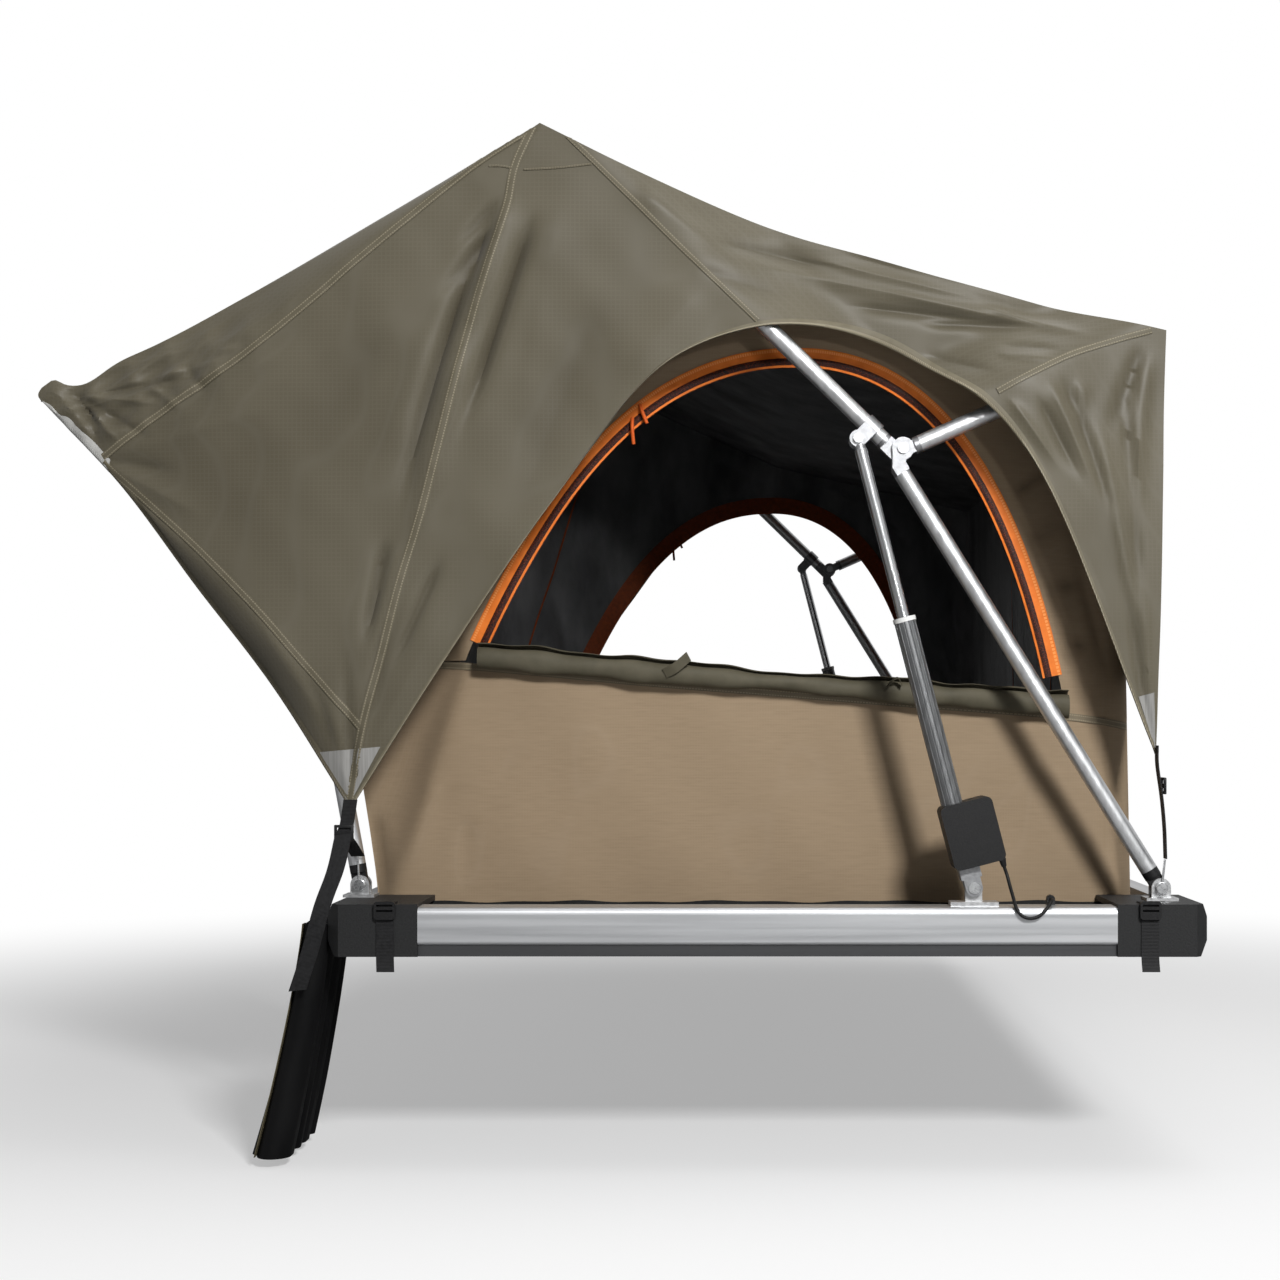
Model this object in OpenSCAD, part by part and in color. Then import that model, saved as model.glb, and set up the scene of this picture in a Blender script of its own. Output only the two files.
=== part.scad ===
// Roof top tent: an aluminium base for roof bars, a folding tube frame lifted by two linear
// actuators, a fabric tent on a mattress, and a fly sheet over all of it.
// Millimetres. X runs across the car, Y along it with the near end at -Y, Z up from the roof bars.

/* [Base] */
// Width of the base across the car
base_w = 1248; // [1160:1:1400]
// Length of the base along the car
base_l = 2400; // [2200:1:2600]
// Height of the edge rails
rail_h = 70; // [60:1:85]
// Depth of the end rails
rail_d = 50; // [44:1:60]
// Depth of the side rails
side_rail_d = 40; // [34:1:44]
// Wall of the hollow edge rails
rail_wall = 3; // [2:0.5:5]
// Height of the recessed foot strip of a rail
rail_foot_h = 17; // [10:1:24]
// Recess of the foot strip
rail_foot_recess = 6; // [2:1:10]
// Width of a corner cap
cap_w = 130; // [120:1:150]
// Depth of a corner cap
cap_d = 170; // [165:1:200]
// Rise of a corner cap above the rails
cap_rise = 4; // [2:1:8]
// Wall of a corner cap's top
cap_wall = 8; // [5:1:12]
// Chamfer of a corner cap
cap_chamfer = 18; // [8:1:24]
// Thickness of the floor panel
floor_t = 25; // [18:1:30]
// Width of a mounting channel
channel_w = 40; // [30:1:60]
// Height of a mounting channel
channel_h = 16; // [14:1:20]
// Wall of a mounting channel
channel_wall = 4; // [3:0.5:6]
// Diameter of the roof bar bolt holes
bar_hole_d = 8.5; // [6.5:0.5:11]
// Spacing of the bolt holes across the car
bar_hole_x = 800; // [600:10:1000]
// Spacing of the bolt holes along the car
bar_hole_y = 1000; // [700:10:1400]

/* [Frame] */
// Diameter of the frame tubes
tube_d = 25; // [20:0.5:26]
// Wall of the frame tubes
tube_wall = 1.5; // [1:0.25:3]
// Length of a main leg from its pivot to the elbow
leg_len = 736.6; // [680:0.1:760]
// Main leg's lean from the +X axis
leg_angle = 121.9; // [118:0.1:126]
// Distance of the elbow pin from the main leg's axis
elbow_drop = 19; // [18:0.5:22]
// Distance of the ridge tube's axis from the elbow pin
ridge_rise = 10.5; // [10.5:0.5:14]
// Distance of the ridge bar along the ridge tube
ridge_len = 650; // [630:1:660]
// Distance of the ridge bar beside the elbow pin
ridge_bar_rise = 32.5; // [30:0.5:40]
// Ridge tube's lean
ridge_angle = 135.7; // [133:0.1:138]
// Length of an eave arm
eave_len = 402; // [360:1:420]
// Eave arm's lean
eave_angle = 23.6; // [20:0.1:26]
// Length of an entrance leg
entrance_len = 859; // [820:1:880]
// Entrance leg's lean
entrance_angle = 100.4; // [96:0.1:104]
// Distance of the awning hinge along the entrance leg
awning_at = 733; // [700:1:760]
// Distance of the awning hinge beside the entrance leg's axis
awning_rise = 27.8; // [27.6:0.1:34]
// Length of an awning arm
awning_len = 283; // [240:1:330]
// Awning arm's lean
awning_angle = 180; // [176:0.1:186]
// Distance of the main leg pivot from the base's edge
leg_pivot_in = 54; // [40:0.5:70]
// Distance of the entrance leg pivot from the base's edge
bow_pivot_in = 25; // [24:0.5:40]
// Height of the leg pivots above their bracket's plate
pivot_rise = 14; // [14:0.5:20]
// Distance of the actuators from the base's end
actuator_in = 32; // [30:1:36]
// Distance of the main legs from the base's end
leg_in = 80; // [78:1:84]
// Distance of the eave arms from the base's end
eave_in = 110; // [110:1:114]
// Distance of the entrance and awning bows from the base's end
bow_in = 140; // [140:1:144]
// Radius of the pivot bolts
bolt_r = 5; // [4:0.5:6]
// Radial running clearance of a pivot
pivot_fit = 0.05; // [0.02:0.01:0.1]

/* [Actuator] */
// Place of the actuator's lower pivot across the base
actuator_x = 294; // [270:1:320]
// Height of the actuator's lower pivot above the rail
actuator_rise = 25.5; // [24:0.5:32]
// Distance of the rod pin along the ridge tube from the elbow
collar_at = 54.2; // [48:0.2:64]
// Distance of the rod pin beside the elbow pin
collar_rise = 41.3; // [38:0.1:48]
// Lower end of the motor housing along the actuator
housing_from = 30; // [28:1:36]
// Length of the motor housing
housing_len = 93; // [80:1:100]
// Reach of the motor housing on its motor side
housing_motor = 54; // [46:1:60]
// Reach of the motor housing on its other side
housing_back = 21; // [17:1:22]
// Width of the motor housing along the car
housing_w = 56; // [44:1:56]
// Outer diameter of the fluted actuator tube
act_tube_d = 31; // [28:0.5:34]
// Top of the actuator tube along the actuator
act_tube_end = 391; // [380:1:392]
// Diameter of the actuator rod
rod_d = 18; // [14:0.5:20]
// Inner end of the rod along the actuator
rod_from = 330; // [324:1:350]

/* [Fabric] */
// Thickness of the fly sheet
fly_t = 2; // [1:0.5:3]
// Distance of the fly's end panel from the base's end
fly_in = 58; // [56:1:60]
// Thickness of the tent walls
wall_t = 2; // [1:0.5:3]
// Distance of the tent's end walls from the base's end
tent_in = 172; // [172:1:184]
// Width of the window's zip band
zip_w = 28; // [15:1:35]
// Diameter of the rolled window flap
flap_d = 30; // [20:1:34]
// Width of the mattress
mattress_w = 1080; // [900:1:1100]
// Clearance between the mattress and the corner caps
mattress_gap = 15; // [10:1:60]
// Thickness of the mattress
mattress_t = 50; // [30:1:52]
// Width of the cap straps
strap_w = 25; // [20:1:30]
// Thickness of the webbing
strap_t = 1.8; // [1:0.1:2.5]
// Depth of the hanging travel cover along the car
cover_l = 195; // [160:1:300]
// Drop of the travel cover
cover_drop = 335; // [200:1:400]

/* [Hidden] */
$fn = 48;

half_w = base_w / 2;
half_l = base_l / 2;
cap_h = rail_h + cap_rise;
floor_top = channel_h + floor_t;
tube_r = tube_d / 2;
spigot_r = tube_r - tube_wall - 0.1;
spigot_l = 25;

// Y places of the frame's layers at the near end
act_y = actuator_in - half_l;
leg_y = leg_in - half_l;
eave_y = eave_in - half_l;
bow_y = bow_in - half_l;
fly_y = fly_in - half_l;
tent_y = tent_in - half_l;

// Pivot bracket: plate, ears, tongue between the ears
plate_t = 4;
plate_w = 46;
plate_d = 44;
ear_t = 4;
ear_r = 14;
tongue_t = 14;
tongue_r = 13;
side_gap = 0.3;
ear_in = tongue_t / 2 + side_gap;
ear_out = ear_in + ear_t;
hook_room = 5.2;
head_t = 5;
head_r = 8;
plug_neck = 18;
plug_end = 30;

// Elbow: three links turn on one pin
elbow_ear_t = 6;
elbow_ear_r = 16;
elbow_tongue_r = 15;
knuckle_len = 30;
eave_barrel = 24;

// Corner blocks where a side tube meets its cross bar
block = 20;
block_r = 16.1;
// A cross bar stops beside the side tube
bar_in = tube_r + side_gap;

// Points as [x, z] in the plane of the frame
function polar(a, r) = [r * cos(a), r * sin(a)];
function on(p, a, along, beside) = p + polar(a, along) + polar(a + 90, beside);
leg_pivot = [half_w - leg_pivot_in, cap_h + plate_t + pivot_rise];
bow_pivot = [bow_pivot_in - half_w, cap_h + plate_t + pivot_rise];
elbow = on(leg_pivot, leg_angle, leg_len, -elbow_drop);
ridge_at = on(elbow, ridge_angle, ridge_len, ridge_bar_rise);
eave_at = on(elbow, eave_angle, eave_len, 0);
entrance_at = on(bow_pivot, entrance_angle, entrance_len, 0);
hinge_at = on(bow_pivot, entrance_angle, awning_at, awning_rise);
awning_bar_at = on(hinge_at, awning_angle, awning_len, 0);
act_pivot = [actuator_x, rail_h + actuator_rise];
rod_pin_at = on(elbow, ridge_angle, collar_at, collar_rise);
act_vec = rod_pin_at - act_pivot;
act_angle = atan2(act_vec[1], act_vec[0]);
act_len = norm(act_vec);
// The rod pin where the legs lie flat, and the rod's stroke
elbow_down = leg_pivot + [-leg_len, elbow_drop];
act_down = norm(elbow_down + [collar_at, collar_rise] - act_pivot);
stroke = act_len - act_down;

// Mirrors its children to the far end as well
module both_ends() {
    children();
    mirror([0, 1, 0]) children();
}

// Places children at a link: X along the link, Z to its left, Y along the car
module on_link(p, a, y) {
    translate([p[0], y, p[1]]) rotate([0, -a, 0]) children();
}

// Cylinder along X between two distances
module rod_x(from, to, r) {
    translate([from, 0, 0]) rotate([0, 90, 0]) cylinder(h = to - from, r = r);
}

// Cylinder along Y between two distances
module rod_y(from, to, r) {
    translate([0, to, 0]) rotate([90, 0, 0]) cylinder(h = to - from, r = r);
}

// Plate in the XZ plane from a flat outline
module plate_y(from, to) {
    translate([0, to, 0]) rotate([90, 0, 0]) linear_extrude(height = to - from) children();
}

// Hollow frame tube along X
module frame_tube(from, to) {
    difference() {
        rod_x(from, to, tube_r);
        rod_x(from - 1, to + 1, tube_r - tube_wall);
    }
}

// Cross bar along Y between the two ends, at a place in the frame's plane
module cross_bar(p, reach) {
    translate([p[0], 0, p[1]]) difference() {
        rod_y(-reach, reach, tube_r);
        rod_y(-reach - 1, reach + 1, tube_r - tube_wall);
    }
}

// Rounded block for a bow's corner, with a spigot into the cross bar
module corner_block() {
    intersection() {
        cube(block, center = true);
        sphere(r = block_r);
    }
    rod_y(0, block / 2 + spigot_l, spigot_r);
}

// Sheet solid between two grids of points with the same rows and columns
function flat(grid) = [for (row = grid) each row];
function quad(a, b, c, d) = [[a, b, c], [a, c, d]];
function sheet_faces(nr, nc) = let(
    p = function(r, c) r * nc + c,
    q = function(r, c) nr * nc + r * nc + c
) [
    for (r = [0 : nr - 2], c = [0 : nc - 2]) each quad(p(r, c), p(r + 1, c), p(r + 1, c + 1), p(r, c + 1)),
    for (r = [0 : nr - 2], c = [0 : nc - 2]) each quad(q(r, c), q(r, c + 1), q(r + 1, c + 1), q(r + 1, c)),
    for (r = [0 : nr - 2]) each quad(p(r + 1, 0), p(r, 0), q(r, 0), q(r + 1, 0)),
    for (r = [0 : nr - 2]) each quad(p(r, nc - 1), p(r + 1, nc - 1), q(r + 1, nc - 1), q(r, nc - 1)),
    for (c = [0 : nc - 2]) each quad(p(0, c), p(0, c + 1), q(0, c + 1), q(0, c)),
    for (c = [0 : nc - 2]) each quad(p(nr - 1, c + 1), p(nr - 1, c), q(nr - 1, c), q(nr - 1, c + 1))
];
module sheet_solid(front, back) {
    polyhedron(points = concat(flat(front), flat(back)), faces = sheet_faces(len(front), len(front[0])));
}
function unit(v) = v / norm(v);
function mix(a, b, t) = a + (b - a) * t;

// Flat strap along points, its width laid along one direction
module strap(points, width, thick) {
    n = len(points);
    along = [for (i = [0 : n - 1]) unit(points[min(i + 1, n - 1)] - points[max(i - 1, 0)])];
    face = [for (i = [0 : n - 1]) unit(cross(width, along[i])) * thick / 2];
    front = [for (i = [0 : n - 1]) [points[i] - width / 2 + face[i], points[i] + width / 2 + face[i]]];
    back = [for (i = [0 : n - 1]) [points[i] - width / 2 - face[i], points[i] + width / 2 - face[i]]];
    sheet_solid(front, back);
}

// Rounded rectangle between two corners, as points
function rounded(x0, y0, x1, y1, r, steps = 6) = [
    for (c = [[x1 - r, y1 - r, 0], [x0 + r, y1 - r, 90], [x0 + r, y0 + r, 180], [x1 - r, y0 + r, 270]])
        for (k = [0 : steps]) [c[0], c[1]] + polar(c[2] + 90 * k / steps, r)
];

// Base
module floor_panel() {
    color([0.62, 0.63, 0.64])
        translate([side_rail_d - half_w, rail_d - half_l, channel_h])
            cube([base_w - 2 * side_rail_d, base_l - 2 * rail_d, floor_t]);
}

// Rail section: X inward from the outer face, Y up
module rail_section(depth) {
    round_r = 10;
    lip_r = 4;
    difference() {
        polygon([
            [rail_foot_recess, 0],
            [depth, 0],
            [depth, rail_h],
            for (k = [0 : 6]) [round_r, rail_h - round_r] + polar(90 + 15 * k, round_r),
            for (k = [0 : 4]) [lip_r, rail_foot_h + lip_r] + polar(180 + 22.5 * k, lip_r),
            [rail_foot_recess, rail_foot_h]
        ]);
        translate([rail_foot_recess + rail_wall, rail_wall])
            square([depth - rail_foot_recess - 2 * rail_wall, rail_h - 2 * rail_wall]);
    }
}

module end_rail() {
    color([0.78, 0.79, 0.8])
        translate([cap_w - half_w, -half_l, 0])
            rotate([90, 0, 90]) linear_extrude(height = base_w - 2 * cap_w) rail_section(rail_d);
}
module near_rail() {
    end_rail();
}
module far_rail() {
    mirror([0, 1, 0]) end_rail();
}

module side_rail() {
    color([0.78, 0.79, 0.8])
        translate([-half_w, half_l - cap_d, 0])
            rotate([90, 0, 0]) linear_extrude(height = base_l - 2 * cap_d) rail_section(side_rail_d);
}
module left_rail() {
    side_rail();
}
module right_rail() {
    mirror([1, 0, 0]) side_rail();
}

// Cap of the right near corner
module corner_cap() {
    x0 = half_w - cap_w;
    lift = cap_chamfer + 4;
    difference() {
        intersection() {
            plate_y(-half_l, cap_d - half_l) polygon([
                [x0, 0], [half_w - cap_chamfer * 0.6, 0], [half_w, lift],
                [half_w, cap_h - cap_chamfer], [half_w - cap_chamfer * 0.4, cap_h], [x0, cap_h]
            ]);
            linear_extrude(height = cap_h) polygon([
                [x0, -half_l], [half_w - cap_chamfer, -half_l], [half_w, cap_chamfer - half_l],
                [half_w, cap_d - half_l], [x0, cap_d - half_l]
            ]);
        }
        translate([x0 - 1, rail_d - half_l, -1])
            cube([cap_w - side_rail_d + 1, cap_d - rail_d + 1, cap_h - cap_wall + 1]);
    }
}
module corner_caps() {
    color([0.13, 0.13, 0.14]) both_ends() {
        corner_cap();
        mirror([1, 0, 0]) corner_cap();
    }
}

module mounting_channels() {
    length = base_l - 2 * rail_d;
    color([0.7, 0.71, 0.72]) for (side = [-1, 1]) translate([side * bar_hole_x / 2, 0, 0]) difference() {
        translate([-channel_w / 2, -length / 2, 0]) cube([channel_w, length, channel_h]);
        translate([channel_wall - channel_w / 2, -length / 2 - 1, channel_wall])
            cube([channel_w - 2 * channel_wall, length + 2, channel_h - 2 * channel_wall]);
        for (end = [-1, 1]) translate([0, end * bar_hole_y / 2, -1])
            cylinder(h = channel_wall + 2, d = bar_hole_d);
    }
}

// Bracket with two ears; the origin is its pivot
module pivot_bracket(height) {
    translate([-plate_w / 2, -plate_d / 2, -height]) cube([plate_w, plate_d, plate_t]);
    for (side = [-1, 1]) difference() {
        plate_y(side > 0 ? ear_in : -ear_out, side > 0 ? ear_out : -ear_in) {
            circle(r = ear_r);
            translate([-ear_r, plate_t - height]) square([2 * ear_r, height - plate_t]);
        }
        rod_y(-ear_out - 1, ear_out + 1, bolt_r);
    }
}
module leg_brackets() {
    color([0.82, 0.83, 0.84]) both_ends()
        on_link(leg_pivot, 0, leg_y) pivot_bracket(plate_t + pivot_rise);
}
module bow_brackets() {
    color([0.82, 0.83, 0.84]) both_ends()
        on_link(bow_pivot, 0, bow_y) pivot_bracket(plate_t + pivot_rise);
}

// Bolt with a head outside and a nut inside; the hook's ring sits under the head
module pivot_bolt() {
    head_at = ear_out + hook_room;
    rod_y(-head_at, ear_out + side_gap, bolt_r);
    rod_y(-head_at - head_t, -head_at, head_r);
    translate([0, ear_out + head_t, 0]) rotate([90, 0, 0]) cylinder(h = head_t, r = head_r, $fn = 6);
}
module leg_pivot_bolts() {
    color([0.75, 0.76, 0.77]) both_ends() on_link(leg_pivot, 0, leg_y) pivot_bolt();
}
module bow_pivot_bolts() {
    color([0.75, 0.76, 0.77]) both_ends() on_link(bow_pivot, 0, bow_y) pivot_bolt();
}

// Actuator foot on the end rail
foot_t = 6;
foot_w = 68;
foot_d = 34;
tab_t = 12;
tab_r = 12;
gear_ear_t = 7.5;
gear_in = tab_t / 2 + side_gap;
gear_out = gear_in + gear_ear_t;
module actuator_feet() {
    color([0.8, 0.81, 0.82]) both_ends() on_link(act_pivot, 0, act_y) difference() {
        union() {
            translate([-foot_w / 2, -foot_d / 2, -actuator_rise]) cube([foot_w, foot_d, foot_t]);
            plate_y(-tab_t / 2, tab_t / 2) {
                circle(r = tab_r);
                translate([-tab_r, foot_t - actuator_rise]) square([2 * tab_r, actuator_rise - foot_t]);
            }
        }
        rod_y(-tab_t, tab_t, bolt_r);
    }
}
module actuator_pivot_pins() {
    color([0.7, 0.71, 0.72]) both_ends() on_link(act_pivot, 0, act_y) {
        rod_y(-gear_out - side_gap, gear_out + side_gap, bolt_r);
        for (side = [-1, 1]) translate([0, side * (gear_out + side_gap + 1), 0]) rod_y(-1, 1, head_r);
    }
}

// Mattress: crowned top, drawn-in sides
mattress_l = base_l - 2 * cap_d - 2 * mattress_gap;
mattress_rows = 14;
mattress_cols = 10;
function mattress_at(i, j, top) = let(
    u = 2 * i / mattress_cols - 1,
    v = 2 * j / mattress_rows - 1,
    draw = 12,
    x = u * (mattress_w / 2 - draw * (1 - v * v)),
    y = v * (mattress_l / 2 - draw * (1 - u * u)),
    edge = max(abs(u), abs(v)),
    drop = mattress_t * 0.3 * pow(edge, 8)
) [x, y, floor_top + side_gap + (top ? mattress_t - drop : drop * 0.3)];
module mattress() {
    color([0.55, 0.54, 0.52]) sheet_solid(
        [for (j = [0 : mattress_rows]) [for (i = [0 : mattress_cols]) mattress_at(i, j, true)]],
        [for (j = [0 : mattress_rows]) [for (i = [0 : mattress_cols]) mattress_at(i, j, false)]]
    );
}

// Travel cover, unzipped on three sides and folded back double at the left near corner
cover_t = 3;
cover_top = 45;
cover_lean = 62;
cover_in = 17;
cover_steps = 24;
cover_levels = 10;
// Plan of the fold: out along Y, round, and back, with pleats that open towards the hem
function cover_plan(s, down) = let(
    bend = 0.14,
    run = (1 - bend) / 2,
    gap = cover_in - cover_t / 2 + 6.5 * down,
    pleat = 9 * down * sin(720 * s + 60),
    y = s < run ? s / run : s > 1 - run ? (1 - s) / run : 1,
    turn = s < run ? 0 : s > 1 - run ? 180 : 180 * (s - run) / bend
) [-gap * cos(turn) + pleat * (1 - sin(turn)) * 0.8, y * (cover_l - gap) + gap * sin(turn)];
function cover_point(i, k) = let(
    down = k / cover_levels,
    plan = cover_plan(i / cover_steps, down),
    x = -half_w - cover_in - cover_lean * pow(down, 1.1),
    y = 8 - half_l + 10 * down
) [x + plan[0], y + plan[1], cover_top - cover_drop * down - 8 * down * sin(360 * i / cover_steps)];
module travel_cover() {
    grid = [for (k = [0 : cover_levels]) [for (i = [0 : cover_steps]) cover_point(i, k)]];
    side = [for (k = [0 : cover_levels]) [for (i = [0 : cover_steps]) let(
        along = grid[k][min(i + 1, cover_steps)] - grid[k][max(i - 1, 0)]
    ) unit([-along[1], along[0], 0]) * cover_t / 2]];
    color([0.1, 0.1, 0.1]) sheet_solid(grid - side, grid + side);
}

// Cover straps on the caps: over the top edge, down the front, past the foot
cap_strap_x = half_w - 84.5;
cap_strap_tail = 21;
module cap_strap() {
    lie = strap_t / 2 + side_gap;
    strap([
        [cap_strap_x, 34 - half_l, cap_h + lie],
        [cap_strap_x, -lie - half_l, cap_h + lie],
        [cap_strap_x, -lie - half_l, 4],
        [cap_strap_x + 1, -lie - 3 - half_l, -cap_strap_tail]
    ], [strap_w, 0, 0], strap_t);
}
module cap_straps() {
    color([0.1, 0.1, 0.1]) both_ends() {
        cap_strap();
        mirror([1, 0, 0]) cap_strap();
    }
}
// Ladder lock: a frame with two slots
buckle_h = 26;
buckle_t = 5;
module cap_buckle() {
    slot_w = strap_w - 2;
    front = half_l + strap_t + 2 * side_gap;
    translate([cap_strap_x, 0, rail_h - 4]) plate_y(-front - buckle_t, -front) difference() {
        polygon(rounded(-strap_w * 0.6, -buckle_h / 2, strap_w * 0.6, buckle_h / 2, 5));
        for (dz = [2, 9.5]) translate([-slot_w / 2, dz - 4]) square([slot_w, 3]);
    }
}
module cap_buckles() {
    color([0.08, 0.08, 0.08]) both_ends() {
        cap_buckle();
        mirror([1, 0, 0]) cap_buckle();
    }
}

// Actuator lead: a free cord from the motor to the gland on the rail
lead_d = 5;
gland_x = 406;
gland_h = 8;
gland_l = 10;
gland_y = 40 - half_l;
lead_drop = 12;
lead_beside = 50;
lead_start = on(act_pivot, act_angle, housing_from - lead_drop, -lead_beside);
lead_points = [
    [lead_start[0], act_y, lead_start[1]], [342, -1169, 113], [345, -1176, 99], [348, -1189, 83],
    [351, -1203, 68], [359, -1206, 58], [370, -1206, 55], [382, -1206, 58], [393, -1203, 68],
    [401, -1194, 77], [405, -1184, 79], [gland_x, -1172, 78], [gland_x, gland_y, rail_h + gland_h]
];
lead_sides = 8;
function lead_way(i) = unit(lead_points[min(i + 1, len(lead_points) - 1)] - lead_points[max(i - 1, 0)]);
function lead_ring(i) = let(
    way = i == 0 ? [cos(act_angle + 180), 0, sin(act_angle + 180)]
        : i == len(lead_points) - 1 ? [0, 1, 0] : lead_way(i),
    across = unit(cross(way, [1, 0.2, 0.1])),
    up = cross(way, across)
) [for (k = [0 : lead_sides - 1]) lead_points[i]
    + (across * cos(360 * k / lead_sides) + up * sin(360 * k / lead_sides)) * lead_d / 2];
module actuator_lead() {
    n = len(lead_points);
    rings = [for (i = [0 : n - 1]) lead_ring(i)];
    color([0.08, 0.08, 0.08]) polyhedron(
        points = flat(rings),
        faces = [
            for (i = [0 : n - 2], k = [0 : lead_sides - 1]) let(
                a = i * lead_sides + k,
                b = i * lead_sides + (k + 1) % lead_sides
            ) each quad(a, a + lead_sides, b + lead_sides, b),
            for (k = [1 : lead_sides - 2]) [0, k, k + 1],
            for (k = [1 : lead_sides - 2]) (n - 1) * lead_sides * [1, 1, 1] + [0, k + 1, k]
        ]
    );
}
module cable_glands() {
    color([0.1, 0.1, 0.1]) both_ends() translate([gland_x, 0, rail_h]) {
        translate([0, 0, gland_h]) rod_y(gland_y, gland_y + gland_l, 6);
        translate([-6, gland_y, 0]) cube([12, gland_l, gland_h]);
    }
}

// Fly sheet: stations along the roof line, each with a hem, a shoulder and a roof point
peak = ridge_at + [-34, 36];
entrance_top = entrance_at + [-8, 20];
awning_top = awning_bar_at + [-20, 14];
awning_lip = awning_bar_at + [-18.5, -8];
eave_tip = eave_at + [19.5, 16];
fly_left = bow_pivot + [0, 114];
fly_right = leg_pivot + [-12, 192];
arch_top = elbow + [-184, 182];
arch_left = [fly_left, fly_left + [214, 322], arch_top - [194, 0], arch_top];
arch_right = [arch_top, arch_top + [237, 23], fly_right + [-157, 518], fly_right];
roof_sag = 44;
sag_skew = 0.8;
lead_bow = 28;
shoulder = 80;
awning_steps = 3;
left_steps = 4;
right_steps = 12;
side_steps = 3;
peak_step = awning_steps + left_steps;
eave_step = peak_step + right_steps;
last_step = eave_step + side_steps;
roof_rows = 4;
far_roof = 3 + roof_rows;
fly_rows = far_roof + 3;
side_hem_top = 650;
hem_foot = 25;
function bezier(p, t) = p[0] * pow(1 - t, 3) + p[1] * 3 * t * pow(1 - t, 2)
    + p[2] * 3 * t * t * (1 - t) + p[3] * pow(t, 3);
function arch(t) = t < 0.5 ? bezier(arch_left, 2 * t) : bezier(arch_right, 2 * t - 1);
function roof_line(i) = i <= awning_steps ? mix(awning_top, entrance_top, i / awning_steps)
    : i <= peak_step ? mix(entrance_top, peak, (i - awning_steps) / left_steps)
    : let(t = (i - peak_step) / right_steps) 
        mix(peak, eave_tip, t) - [0, roof_sag * pow(sin(180 * pow(t, sag_skew)), 1.5)];
function hem_line(i) = i <= peak_step
    ? mix(awning_lip, fly_left, i / peak_step) + [0, lead_bow * sqrt(sin(180 * i / peak_step))]
    : arch((i - peak_step) / right_steps);
function shoulder_line(i) = let(r = roof_line(i), h = hem_line(i))
    r + unit(h - r) * min(shoulder, 0.4 * norm(h - r));
// Y of the end panel and of the roof's edge, drawn in towards the awning
tip_y = bow_y - 24;
peak_y = leg_y - 20;
function panel_y(i) = mix(tip_y, fly_y, min(1, i / peak_step));
function roof_y(i) = i <= awning_steps ? tip_y
    : i <= peak_step ? mix(tip_y, peak_y, (i - awning_steps) / left_steps)
    : mix(peak_y, eave_y - 18, (i - peak_step) / right_steps);
function near_row(i, j) = let(
    p = j == 0 ? hem_line(i) : j == 1 ? mix(hem_line(i), shoulder_line(i), 0.5)
        : j == 2 ? shoulder_line(i) : roof_line(i),
    y = j == 3 ? roof_y(i) : panel_y(i)
) [p[0], y, p[1]];
function flip_y(p) = [p[0], -p[1], p[2]];
function body_point(i, j) = j <= 3 ? near_row(i, j)
    : j >= far_roof ? flip_y(near_row(i, fly_rows - j))
    : let(e = near_row(i, 3), t = (j - 3) / roof_rows) [e[0], e[1] * (1 - 2 * t), e[2]];
function side_hem(j) = let(
    t = j / fly_rows,
    y = (fly_y + hem_foot) * (1 - 2 * t),
    rise = pow(sin(180 * t), 0.6)
) [mix(fly_right[0], eave_tip[0], 0.6 * rise), y, fly_right[1] + 6 + (side_hem_top - fly_right[1]) * rise];
function fly_point(i, j) = i <= eave_step ? body_point(i, j)
    : mix(body_point(eave_step, j), side_hem(j), (i - eave_step) / side_steps);
// Thickness goes inwards from each panel
function fly_inward(i, j) = [
    i >= eave_step ? -1 : 0,
    i > eave_step ? 0 : j <= 3 ? 1 : j >= far_roof ? -1 : 0,
    i <= eave_step && j >= 3 && j <= far_roof ? -1 : 0
] * fly_t;
module fly_sheet() {
    outer = [for (j = [0 : fly_rows]) [for (i = [0 : last_step]) fly_point(i, j)]];
    inner = [for (j = [0 : fly_rows]) [for (i = [0 : last_step]) fly_point(i, j) + fly_inward(i, j)]];
    color([0.36, 0.34, 0.27]) sheet_solid(outer, inner);
}

// Tent: end walls with arched windows and a doorway on the awning side
tent_foot = floor_top;
tent_ridge = ridge_at + [0, -20];
tent_eave = eave_at + [-23, -20];
tent_sag = 46;
tent_outline = [
    [side_rail_d + 6 - half_w, tent_foot],
    entrance_at + [20, -14],
    tent_ridge,
    mix(tent_ridge, tent_eave, 0.42) - [0, tent_sag],
    tent_eave,
    [half_w - side_rail_d - 26, tent_foot]
];
window_left = [-432, 416];
window_top = [40, 866];
window_right = [430, 340];
window_curve = [
    [window_left, window_left + [100, 224], window_top - [235, 0], window_top],
    [window_top, window_top + [200, 8], window_right + [-62, 340], window_right]
];
window_steps = 16;
function window_point(k, grow) = let(
    t = 2 * k / window_steps,
    curve = t < 1 ? window_curve[0] : window_curve[1],
    s = t < 1 ? t : t - 1,
    way = bezier(curve, min(1, s + 0.01)) - bezier(curve, max(0, s - 0.01))
) bezier(curve, s) + unit([-way[1], way[0]]) * grow;
function window_outline(grow) = [for (k = [0 : window_steps]) window_point(k, grow)];
door_w = 840;
door_low = 180;
door_high = 800;
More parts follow.
